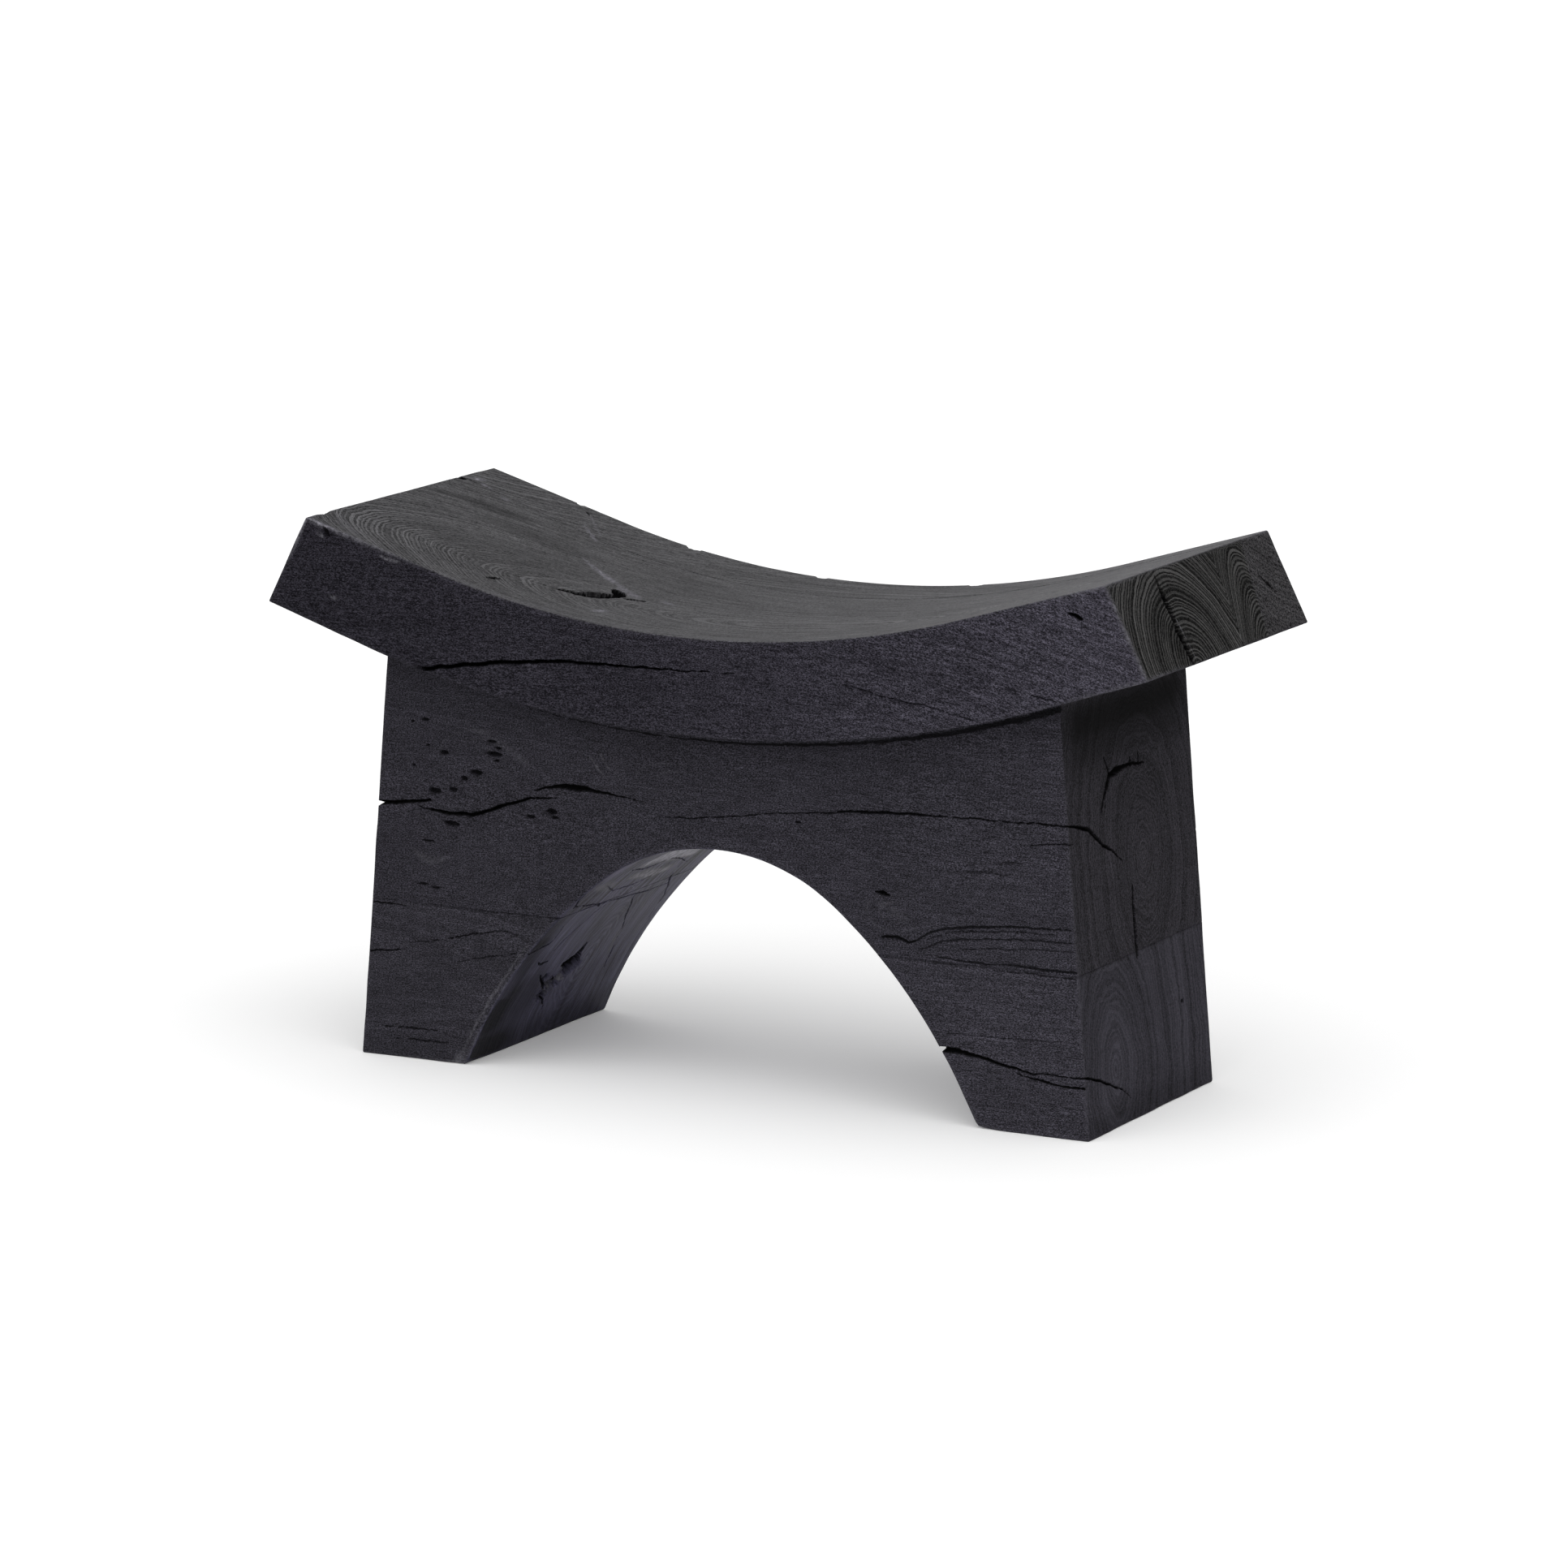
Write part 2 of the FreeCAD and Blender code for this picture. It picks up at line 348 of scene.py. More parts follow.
def archPlace(z):
    crown = np.sqrt(np.maximum(base["crownRadius"] ** 2 - (z - base["crownZ"]) ** 2, 0))
    onCrown = z > base["crownZ"] + base["crownRadius"] * math.cos(base["crownTurn"])
    return np.where(onCrown, crown, flankPlace(z))


def archHeight(x):
    onCrown = np.abs(x) < base["crownRadius"] * math.sin(base["crownTurn"])
    crown = base["crownZ"] + np.sqrt(np.maximum(base["crownRadius"] ** 2 - x ** 2, 0))
    flank = base["flankZ"] + np.sqrt(base["flankRadius"] ** 2 - (np.abs(x) - base["flankX"]) ** 2)
    return np.where(onCrown, crown, flank)


# Where a mark lies on the seat or the base: two of its coordinates on a side give the point.
seatSides = {
    "front": lambda x, z: (x, seat["front"], z),
    "rear": lambda x, z: (x, seat["rear"], z),
    "top": lambda x, y: (x, y, topHeight(x)),
    "belly": lambda x, y: (x, y, bellyHeight(x)),
    "leftEnd": lambda y, z: (-seatEnd(z), y, z),
    "rightEnd": lambda y, z: (seatEnd(z), y, z),
}
baseSides = {
    "front": lambda x, z: (x, base["front"], z),
    "rear": lambda x, z: (x, base["rear"], z),
    "leftEnd": lambda y, z: (-endPlace(z), y, z),
    "rightEnd": lambda y, z: (endPlace(z), y, z),
    "leftArch": lambda y, z: (-archPlace(z), y, z),
    "rightArch": lambda y, z: (archPlace(z), y, z),
    "arch": lambda x, y: (x, y, archHeight(x)),
}

# Seat marks. A check is a crack or hole that is pressed in, a scuff only colours the wood, and a shade is a
# wide, smooth scuff. On the base a few scuffs are a painted sheen and a few shades painted shade or sheen,
# noted where they stand. In their tables a name starts the rows of a side. A row gives the widths from one
# end of the mark to the other, a check's depth, the tone (dark below zero, pale above it) and its path's
# places.
seatChecks = (
    "front",
    ((2.8, 2.7, 2.4, 1.7, 1, 0.5), 9, -1, (-223, 288.5), (-190, 294), (-151, 300), (-112, 303.5),
     (-67, 305), (-35, 305), (3, 306), (31, 307)),
    ((0.4, 0.8, 0.6), 1.4, -0.7, (103, 309), (144, 301), (177, 297), (214, 290)),
    ((0.4, 0.8, 0.6), 1.2, -0.7, (232, 315), (258, 311), (284, 307)),
    ((1, 3, 2), 5, -1, (282, 370), (288, 368.5), (293, 366)),
    ((1.2, 2.4, 1.2), 0.8, -0.1, (-250, 368), (-244, 366), (-237, 364), (-232, 363)),
    ((1.5, 3.4, 1.2), 2.5, -0.75, (-296, 383.5), (-292.5, 381), (-291, 378)),
    "belly",
    ((2.6, 1.2), 6, -1, (-223, -132), (-229, -118), (-233, -104)),
    "top",
    ((4, 6.5, 5), 6, -1, (-140, -70), (-134, -67.5), (-128, -66)),
    ((8, 15, 16, 15, 9), 15, -1, (-127, -68), (-121.5, -61.5), (-117, -57), (-113, -52), (-109.5, -48.5)),
    ((6, 10, 7), 7, -1, (-117, -33), (-111.5, -37.5), (-106.5, -44)),
    ((3, 4.5, 3), 5, -1, (-100, -47.5), (-95, -45.5), (-88.5, -43.5)),
    ((1, 2, 1), 1, -0.6, (-227, 120), (-223.5, 117.5), (-220, 114)),
    ((3, 5.5, 3), 5, -1, (-182, -99), (-179.5, -96), (-177, -93)),
    "rightEnd",
    ((0.8, 3, 5.6, 7, 5.6, 4.6, 5, 4.4, 3), 13, -1, (-60, 387), (-59.5, 377), (-59, 368.5), (-58.8, 361),
     (-60, 351.5), (-60, 342.5), (-59, 333.5), (-57.5, 327.5)),
    ((1.2, 2.4, 1), 2.5, -0.9, (89, 366), (95, 360), (104, 352.5)),
    ((0.5, 1, 0.5), 1, -0.7, (3, 371), (12, 364.5), (20, 355.5)),
    "rear",
    ((0.6, 1.6, 1.4, 0.5), 5, -1, (-40, 297), (8, 292), (66, 291), (128, 298)),
    ((0.4, 0.9, 0.5), 1.5, -0.8, (150, 330), (196, 333), (251, 341)),
    "leftEnd",
    ((0.5, 2.2, 3, 1.6, 0.6), 9, -1, (-72, 380), (-68, 366), (-69, 352), (-63, 341), (-64, 332)),
    ((0.4, 0.9, 0.4), 1.2, -0.8, (18, 344), (31, 352), (38, 363)),
)
seatScuffs = (
    "top",
    ((3.6, 4.2, 3), 0.9, (-211, 89.5), (-199.5, 78), (-187.5, 66)),
    ((2.4, 3.2, 2.6), 0.6, (-220.5, 116), (-206.5, 98), (-193, 83)),
    ((3, 5, 7, 8, 7), 1.2, (-172, 18), (-161, 9.5), (-150, 1.5), (-137, -8), (-124, -16)),
    ((8, 12, 10, 5), 1, (-122, -17), (-113, -28), (-104, -33), (-92, -40)),
    ((8, 9, 7), 1.7, (-96, -98), (-94, -95), (-92.5, -91)),
    ((7, 8, 5), 0.7, (-80, -31.5), (-74, -34), (-67, -37)),
    ((4, 5, 3), 0.35, (-172, -26), (-162, -35), (-150, -41)),
    ((8, 9), 1.4, (-303, 90), (-298.5, 95)),
    ((3.5, 6, 3), 0.9, (-294, 88), (-289, 83.5), (-284, 82)),
    ((6, 6), 0.7, (-270, 75), (-265, 73)),
    ((7, 15, 9), 0.2, (-306, -96), (-292, -113), (-272, -126)),
    ((1.6, 2.2, 1.6), 0.4, (-298, -102), (-286, -114), (-273.5, -122), (-261.5, -129.5)),
    ((1.6, 2.2, 1.6), 0.4, (-290, -101), (-278, -113), (-266, -121), (-252, -130)),
    ((1.4, 2.2, 2.2, 1.4), 0.32, (-290, -56), (-288, -70.5), (-283.5, -81.5), (-275, -94.5),
     (-264.5, -106.5), (-252.5, -114.5)),
    ((1.2, 1.8, 1.2), 0.3, (-249, -96), (-240, -106.5), (-230, -113.5), (-218, -119)),
    ((3, 5, 5, 3), 0.18, (-225, -127), (-202, -129.5), (-173.5, -129), (-147, -126), (-110, -124)),
    "front",
    ((3, 4), 0.5, (-292.5, 336.5), (-286, 334.5)),
    ((3, 4, 2), 0.5, (-301, 381), (-298, 379), (-295, 376)),
    ((2.4, 4.4, 2.4), 0.8, (-250, 367), (-242, 365), (-233, 363)),
    "rightEnd",
    ((1, 2, 2.2, 1.4), 0.75, (-55.5, 360), (-55, 350), (-53, 340), (-52, 329)),
    ((0.9, 1.1), 0.6, (64.5, 330), (68.5, 343), (73, 357), (77.5, 371), (81.5, 384)),
)
seatShades = (
    "top",
    ((6, 18, 22, 14), -0.36, (-308, 30), (-292, 38), (-276.5, 42), (-252.5, 46), (-232, 52)),
    ((14, 34, 40, 24), -0.2, (-262.5, 14), (-240, 22), (-205, 28), (-165, 20)),
    ((14, 40, 40, 16), -0.14, (-150, 44), (-118, 40), (-76, 34), (-40, 30)),
    ((50, 80, 80, 50), -0.17, (-262, -40), (-230, -42), (-200, -38), (-160, -22)),
    ((5, 9, 10, 9, 5), 0.13, (-230, -129), (-120, -127), (0, -126), (120, -126), (230, -128)),
    "rightEnd",
    ((24, 34, 24), -0.3, (-78, 358), (-66, 342), (-48, 334)),
)

# Chips in the seat's edges: place, reach in X, Y and Z, depth and roughness of the rim.
seatHollows = (
    ((-141, 132, 344), (9, 7, 3.2), 3, 0.5),
    ((-38, 132, 330), (6, 5, 2), 2, 0.5),
    ((85, 132, 334), (7, 6, 2.2), 1.8, 0.5),
    ((-238, 132, 368), (5, 4, 2), 1.6, 0.5),
    ((-308, 81, 389), (4, 4.5, 3.2), 3, 0.5),
    ((-311, -108, 390), (4, 9, 3), 1.6, 0.6),
    ((170, 132, 312), (5, 4, 2.4), 4, 0.6),
)

# Worn corners: place, reach, how much wider the easing gets and how pale it is rubbed.
seatWorn = (
    ((-311, -132, 389), 28, 0.6, 1.7),
    ((-262, -132, 375), 30, 0.5, 0.6),
    ((311, -132, 389), 30, 0.3, 0.4),
    ((340, -132, 329), 55, 0.3, 0.75),
    ((311, 132, 389), 24, 0.2, 0.2),
    ((-311, 132, 389), 24, 0.2, 0.2),
)

# Painted shadow under the seat's front edge, where it shades the beam: the belly's curve, moved ahead and
# down, and sloping.
underSeatShadow = {"ahead": 16.4, "below": 7.4, "from": -175, "run": 457, "fall": 2.4, "end": 282, "places": 40}


def underSeatShadowLine(start, lower=0):
    places = []
    for x in np.linspace(start, underSeatShadow["end"], underSeatShadow["places"]):
        downhill = max(x - underSeatShadow["from"], 0) / underSeatShadow["run"] * underSeatShadow["fall"]
        places.append((x, float(bellyHeight(x + underSeatShadow["ahead"])) - underSeatShadow["below"] - downhill - lower))
    return places


# Arcs of the grain round a knot: each is part of an ellipse about it, pale and dark by turns.
def swirl(centre, radii, flatness, turn, tone, width=1.6):
    rows = []
    for number, radius in enumerate(radii):
        angles = np.radians(np.linspace(*turn, 12) + 23 * number)
        places = [(centre[0] + radius * math.cos(a), centre[1] + radius * flatness * math.sin(a))
                  for a in angles]
        rows.append(((0.5 * width, width, 0.5 * width), tone * (1, -1.4)[number % 2], *places))
    return rows


# Base marks: among them the large check off its left edge, the pin knots, the check through the right foot
# and the void in the left foot's arch face. A hollow's fifth value, where it has one, is how dark it is
# painted, as charred wood and painted shade in the hollow.
baseChecks = (
    "front",
    # Painted shadow: a shallow groove painted dark where the seat's front edge shades the beam.
    ((0.5, 0.9, 1.3, 1.7, 2.3, 3.4, 5), 0.3, -0.86, *underSeatShadowLine(-150)),
    ((3.6, 2.6, 2.2, 1.6), 9, -1, (-273, 183.3), (-256.5, 185.5), (-239.5, 188), (-229.5, 189)),
    ((0.8, 2.2, 2.6, 2.4, 2.2, 1.6, 0.6), 7, -1, (-238, 183.5), (-224.5, 182), (-211, 181), (-196.5, 182),
     (-187.5, 184.5), (-167, 192), (-147.5, 198), (-127, 200.5)),
    ((0.8, 2, 4.6, 1.8, 1.2, 0.5), 7, -1, (-145.5, 203), (-136, 207), (-124, 209), (-114, 209),
     (-101.5, 208.5), (-89, 207.5), (-59.5, 204.5)),
    ((0.4, 0.9, 0.9, 0.7, 0.7, 1.6, 1.8, 1, 1, 1.1, 1.2), 3.5, -0.9, (-47.5, 194.5), (-25, 195.5),
     (11, 200), (43, 205), (74.5, 208.5), (106, 212), (131, 214), (165, 215), (199, 216), (229.5, 216.5),
     (273.5, 217)),
    ((0.9, 1.1, 0.4), 1.6, -0.9, (-277, 111.3), (-264, 111.5), (-250.5, 111.2)),
    ((1.1, 1, 0.6), 2, -0.9, (-280, 75.5), (-264.5, 77), (-252, 79.5)),
    ((0.5, 1, 0.9, 0.5), 1.4, -0.8, (-247.5, 84), (-224, 88.5), (-201, 94.5), (-176, 100.5), (-158, 99)),
    ((0.5, 0.8, 0.6), 1, -0.7, (-208, 74.5), (-184.5, 80.5), (-154.5, 86.5)),
    ((0.7, 1.3, 0.7), 1, -0.8, (-268.5, 21.5), (-248.5, 22.5), (-225, 23)),
    ((0.7, 1.3, 0.7), 1, -0.8, (-258.5, 14), (-238.5, 14.5), (-216.5, 15)),
    ((1.2, 3.2, 1.6), 5, -1, (124, 158.3), (129.5, 158), (135, 156.8)),
    ((1.4, 2.2, 1.6, 0.5), 2, -0.9, (129, 127), (143.5, 127.5), (150, 125), (160, 129)),
    ((0.8, 1.5, 1.8, 1.4, 1.2, 1), 1, -0.8, (150, 124), (163.5, 132), (177.5, 137.5), (199.5, 141),
     (230, 144), (273, 146)),
    ((0.6, 1, 1.4, 1, 0.8), 0.6, -0.6, (164, 128), (184, 136), (205, 138.5), (236, 141), (262, 141.5)),
    ((0.8, 1.4, 1, 1.5, 1), 0.6, -0.7, (159, 120.5), (174.5, 128), (199.5, 132.5), (236, 135.5),
     (273, 137)),
    ((0.6, 1.2, 0.9, 0.9), 0.6, -0.6, (188, 124), (210, 127), (238, 129), (274, 131)),
    ((0.8, 1.4, 1.2, 1.8, 1.6), 0.8, -0.8, (172, 117.5), (199.5, 115.8), (230, 117), (254.5, 116.5),
     (276, 116.5)),
    ((0.6, 1.2, 1), 0.6, -0.7, (214, 112), (242, 112.5), (276, 112)),
    ((0.6, 1.6, 0.6), 0.6, -0.5, (185.5, 178), (205, 179.5), (225, 179)),
    ((0.5, 1.2, 0.5), 0.6, -0.5, (214, 186.5), (228, 188), (242.5, 188.5)),
    ((0.4, 0.9, 1), 1.2, -0.8, (233.5, 201), (255, 203.5), (274, 204.5)),
    ((3.4, 2.6, 2.2, 1.9, 1.5, 1, 0.9, 1.2), 6, -1, (174, 52.5), (188, 53), (199.5, 51), (210, 49.5),
     (224.5, 46.5), (243, 43.5), (261.5, 44), (285, 43.5)),
    ((0.8, 1.4, 1.4, 1.4), 2, -1, (230, 42.5), (249, 39.5), (263, 37), (285, 36.5)),
    ((0.5, 0.8, 0.8, 0.5), 0.8, -0.5, (168, 64.5), (199.5, 65), (230, 66), (276, 68)),
    "leftEnd",
    ((3.8, 3, 1.6), 9, -1, (-101, 183.3), (-86, 183), (-70, 180), (-52, 181)),
    ((0.8, 2, 1.6, 0.6), 6, -1, (22, 236), (14, 213), (11, 190), (4, 172)),
    ((0.6, 1.6, 0.6), 4, -1, (-22, 78), (-12, 52), (-9, 30)),
    "rightEnd",
    ((1.2, 2.4, 2.8, 2, 0.6), 6, -1, (-101, 217), (-84, 214), (-71, 210), (-64, 206), (-56, 199.5),
     (-37, 189.5), (-20, 179.5)),
    ((0.9, 0.4), 1, -0.7, (-101, 204.5), (-86, 204)),
    ((1.4, 1.8, 1.6, 1.2, 0.4), 4, -1, (-101, 44), (-80, 39), (-61.5, 31.5), (-45.5, 25.5), (-31.5, 16.5)),
    ((1.2, 2.2, 5.5, 3, 2.2, 2, 1), 6, -1, (-39.5, 253.5), (-35.5, 246.5), (-33, 240), (-18, 242.5),
     (0, 243.5), (12, 242), (24, 240.5)),
    ((5, 2.4, 1.6), 4, -1, (-33, 240), (-40.5, 230.5), (-49, 218)),
    ((2.8, 1.4), 3, -1, (1, 242.5), (0.5, 248)),
    ((2.4, 1.2), 3, -1, (14, 241.5), (14, 248.5)),
    ((1.4, 3.2, 3.8, 3), 7, -1, (-7.5, 160), (-8.5, 137.5), (-8, 124), (-7, 110)),
    "rightArch",
    ((3.4, 2.6, 1.6, 0.6), 7, -1, (-101, 52.5), (-88, 52), (-70, 49.5), (-48, 50)),
    "leftArch",
    ((1, 2.6, 1), 3, -1, (-69, 72), (-60, 69.5), (-52, 70)),
    ((5, 11, 16, 12), 15, -1, (-19, 61), (-10, 61), (-3, 60.5), (3, 56)),
    ((14, 7, 1.5), 12, -1, (-5, 62), (-2.5, 68), (-1.5, 74)),
    ((3, 6.5, 4), 9, -1, (-34, 47.5), (-24, 48), (-13, 46.5)),
    ((1.4, 2.4, 2.6, 0.8), 4, -1, (-49, 58), (-34, 48.5), (-24, 38.5), (-12, 25)),
    "arch",
    ((1, 1.5, 1.1, 1.4, 1, 0.6), 1.8, -0.77, (-117, -92), (-121, -70), (-125.5, -42), (-127.5, -17),
     (-129, 12.5), (-131, 34), (-131, 70)),
    ((0.6, 1.4, 1.1, 1.5, 1.1, 0.6), 1.6, -0.77, (-131, 18), (-140, 28.5), (-147.5, 35.5), (-153, 43),
     (-158.5, 49.5), (-162, 51)),
    ((0.6, 1.4, 1.2, 1.2, 0.5), 1.6, -0.68, (-164, 52), (-169.5, 57.5), (-174, 59.5), (-178, 61),
     (-183, 64)),
    ((0.7, 1.4, 1, 1.2, 0.5), 1.6, -0.77, (-156, -55), (-148, -48.5), (-143.5, -45), (-139, -38),
     (-133.5, -36), (-129.5, -27)),
    ((1.2, 1.5, 1.6, 1.2, 0.7), 2, -0.77, (-151, -100), (-149, -84.5), (-148, -72), (-142.5, -73),
     (-136, -76)),
    ((0.5, 1.4, 0.9, 1.1, 0.5), 1.4, -0.68, (-86, -66), (-93, -52), (-98, -24), (-96, 8), (-101, 30),
     (-112, 62)),
    ((0.5, 1.1, 0.6), 1.2, -0.68, (-104, -70), (-114, -44), (-116, -14), (-112, 22)),
    ((0.5, 1.2, 1, 0.5), 1.4, -0.68, (-110, 52), (-124, 60), (-142, 84), (-158, 88)),
    ((2.1, 2.1, 0.9), 2.6, -0.77, (-118, -91), (-111, -99), (-105, -99)),
    "rear",
    ((0.6, 2, 2.4, 1.4, 0.5), 7, -1, (-262, 221), (-214, 216), (-150, 222), (-96, 219), (-40, 224)),
    ((0.5, 1.2, 1.6, 2), 5, -1, (96, 186), (150, 180), (212, 184), (275, 180)),
    ((0.4, 1, 0.6), 1.6, -0.8, (-276, 66), (-240, 63), (-201, 57)),
)
baseScuffsAndSheen = (
    "front",
    ((7, 9, 7), 0.16, (-194, 243), (-170, 235), (-150, 222)),
    ((1.5, 2.5, 1.5), 0.4, (-101, 233), (-94, 226), (-88, 219)),
    ((1.5, 2, 1.5), 0.35, (-93, 235), (-87, 228), (-83, 223)),
    ((5, 8, 5), 0.2, (-244, 152), (-232, 146), (-215, 149)),
    ((6, 14, 6), 0.14, (126, 151), (139, 146), (150, 138)),
    ((6, 9, 5), 0.55, (-203, 10), (-207, 5), (-212, 1)),
    ((1.4, 2.4, 2.8, 2.6), 0.5, (-149, 94.5), (-163.5, 76.5), (-177, 57.5), (-189, 39), (-197.5, 23),
     (-204, 12)),
    *swirl((139, 145), (4, 8, 12, 17, 22, 28), 0.62, (20, 250), 0.22, 2),
    *swirl((-186, 226), (11, 16, 22, 28, 35, 43), 0.5, (-60, 150), 0.16),
    *swirl((-222, 186), (12, 18, 25, 33), 0.45, (160, 330), 0.14),
    *swirl((-30, 222), (18, 26, 34, 42), 0.34, (40, 230), 0.16),
    "arch",
    ((4, 6, 4), 0.4, (-200, -99), (-205, -97), (-207, -93)),
    # Painted sheen: this row and the three below are bright streaks where the intrados near its crown
    # reflects the bright floor.
    ((12, 24, 28, 24, 12), 3.2, (-91, -44), (-87, -22), (-89, 0), (-94, 30), (-102, 64)),
    ((9, 16, 15, 9), 1.9, (-103, -38), (-106, -12), (-111, 10), (-111, 40)),
    ((8, 16, 12), 0.9, (-99, -96), (-103, -74), (-110, -50)),
    ((6, 12, 9), 0.8, (-64, 20), (-72, 50), (-84, 88)),
    ((5, 9, 6), 0.4, (-117, 101), (-124, 84), (-139, 68)),
    ((5, 10, 6), 0.3, (-120, 52), (-138, 50), (-156, 66)),
    "leftArch",
    ((4, 8, 5), 0.6, (40, 88), (48, 70), (56, 52)),
    ((4, 7, 4), 0.45, (78, 80), (84, 58), (90, 34)),
    ((7, 11, 10, 6), 1.1, (-28, 38), (-20, 44), (-12, 49), (-2, 46)),
    ((3, 5, 3), 0.4, (-24, 41), (-17, 38), (-11, 42)),
)
baseShades = (
    "front",
    # Painted shadow: a soft darkening just below the painted shadow under the seat's front edge.
    ((5, 8, 10, 12), -0.08, *underSeatShadowLine(-170, 1)),
    "rightEnd",
    # Painted shade: the top of the right end is darkened under the seat's overhang, and its bottom next to
    # the floor.
    ((64, 64), -0.5, (-98, 274), (98, 274)),
    ((34, 34), -0.34, (-98, 284), (98, 284)),
    ((40, 40), -0.25, (-110, 2), (98, 2)),
    "leftArch",
    # Painted sheen high on the left arch face, and painted shade lower down, darkest next to the floor.
    ((50, 80, 70), 0.2, (-30, 92), (20, 86), (98, 78)),
    ((40, 60), -0.45, (-110, 2), (110, 2)),
    ((60, 66, 60), -0.5, (-100, 20), (-98, 62), (-98, 100)),
    ((90, 110, 90, 50), -0.6, (-125, -10), (-80, 20), (-60, 42), (-66, 66)),
    "arch",
    ((60, 50, 30), -0.45, (-152, -100), (-125, -100), (-92, -102)),
)
baseHollows = (
    ((-233, -101, 247), (3.6, 4, 1.5), 3, 0.4),
    ((-243.5, -101, 245), (1.6, 3, 1.1), 2, 0.4),
    ((-231, -101, 229), (1.7, 3, 1.2), 2, 0.4),
    ((-218.5, -101, 224.5), (4.4, 4, 2), 4, 0.4),
    ((-243, -101, 213.5), (1.9, 3, 1.2), 2, 0.4),
    ((-177.5, -101, 227), (7.6, 5, 2.2), 5, 0.4),
    ((-179, -101, 236), (5.6, 4, 1.2), 3, 0.6),
    ((-174, -101, 231.5), (3.6, 4, 1), 3, 0.6),
    ((-175.5, -101, 222.5), (3.6, 4, 1.1), 3, 0.5),
    ((-192.5, -101, 212.5), (6.6, 5, 2.4), 5, 0.6),
    ((-201.5, -101, 207.5), (3.4, 4, 2.2), 4, 0.5),
    ((-225.5, -101, 196.5), (6.4, 5, 2.7), 5, 0.5),
    ((-211, -101, 198.5), (3.8, 4, 2.2), 4, 0.5),
    ((-212.5, -101, 174), (8, 5, 2.3), 5, 0.5),
    ((-148, -101, 185), (4.6, 4, 1.6), 3, 0.5),
    ((-131.5, -101, 190), (5, 5, 2.6), 5, 0.5),
    ((-128.5, -101, 186), (3.6, 4, 1.5), 4, 0.5),
    ((-232.5, -101, 160), (6.5, 3, 1.1), 1.6, 0.7),
    ((-236, -101, 128.5), (6, 3, 1.3), 1.6, 0.9),
    ((-226, -101, 126.5), (4, 3, 1.2), 1.4, 0.9),
    ((64, -101, 201), (2.6, 3, 1.1), 2, 0.5),
    ((-173, -3, 55), (10, 13, 9), 9, 1.3),
    ((-178, -16, 47), (9, 13, 8), 6, 1.6, 0.35),
    ((-183, -25, 39), (8, 10, 7), 5, 1.6, 0.5),
    ((-172, -38, 54), (5, 6, 4), 3, 1.3),
    ((283.5, 60, 66), (4, 4, 2), 2.5, 0.6),
    ((120, 101, 240), (7, 5, 3), 5, 0.5),
    ((136, 101, 233), (4, 4, 2), 4, 0.5),
)
baseWorn = (
    ((-166, -101, 66), 48, 1.1, 0.5),
    ((-198, -101, 8), 34, 0.9, 0.8),
    ((-122, -101, 118), 30, 0.9, 0.15),
    ((202, -101, 0), 18, 1.2, 0.3),
    ((280, -101, 110), 140, 0, 0.04),
)


# A mark's path over its side of the timber, in steps of a few millimetres.
def routeOf(sides, mark, step=5.0):
    path = np.array(mark["path"], float)
    run = np.concatenate(((0,), np.cumsum(lengths(np.diff(path, axis=0)))))
    at = np.linspace(0, run[-1], max(int(run[-1] / step), 1) + 1)
    u, v = (np.interp(at, run, path[:, k]) for k in range(2))
    return np.stack(np.broadcast_arrays(*sides[mark["on"]](u, v)), 1)


def marksOf(sides, checks, scuffs, shades, hollows, worn):
    lines, on = [], None
    for kind, rows in (("check", checks), ("scuff", scuffs), ("shade", shades)):
        keys = ("width", "depth", "tone") if kind == "check" else ("width", "tone")
        for row in rows:
            if isinstance(row, str):
                on = row
            else:
                lines.append({"kind": kind, "on": on, **dict(zip(keys, row)), "path": row[len(keys):]})
    for line in lines:
        line["route"] = routeOf(sides, line)
    return {
        "lines": lines,
        "hollows": [dict(zip(("at", "reach", "depth", "rough", "dark"), row)) for row in hollows],
        "worn": [dict(zip(("at", "reach", "ease", "pale"), row)) for row in worn],
    }


seatMarks = marksOf(seatSides, seatChecks, seatScuffs, seatShades, seatHollows, seatWorn)
baseMarks = marksOf(baseSides, baseChecks, baseScuffsAndSheen, baseShades, baseHollows, baseWorn)


# Which points are within reach of a path, how far from it they are, and how far along it, from 0 to 1.
def alongRoute(points, route, reach):
    near = np.flatnonzero(((points > route.min(0) - reach) & (points < route.max(0) + reach)).all(1))
    step = np.diff(route, axis=0)
    offset = points[near][:, None] - route[:-1]
    share = np.clip(np.einsum("nmk,mk->nm", offset, step) / np.einsum("mk,mk->m", step, step), 0, 1)
    away = np.linalg.norm(offset - share[..., None] * step, axis=2)
    best = np.argmin(away, axis=1)
    rows = np.arange(len(near))
    return near, away[rows, best], (best + share[rows, best]) / len(step)


def smoothStep(low, high, value):
    t = np.clip((value - low) / (high - low), 0, 1)
    return t * t * (3 - 2 * t)


def widthAt(mark, share):
    return np.interp(share, np.linspace(0, 1, len(mark["width"])), mark["width"])


# Spacing of points in a mark: a share of its width, the least and the most, and how it grows with distance.
markMesh = {"check": (0.3, 0.5, 1.1, 0.6), "scuff": (0.5, 0.9, 2.4, 0.6), "hollow": (0.3, 0.5, 1.0, 0.5)}
markReach = 12.0  # how far from its path a mark is looked for
markSide = 0.6    # a little more than half of a mark's width


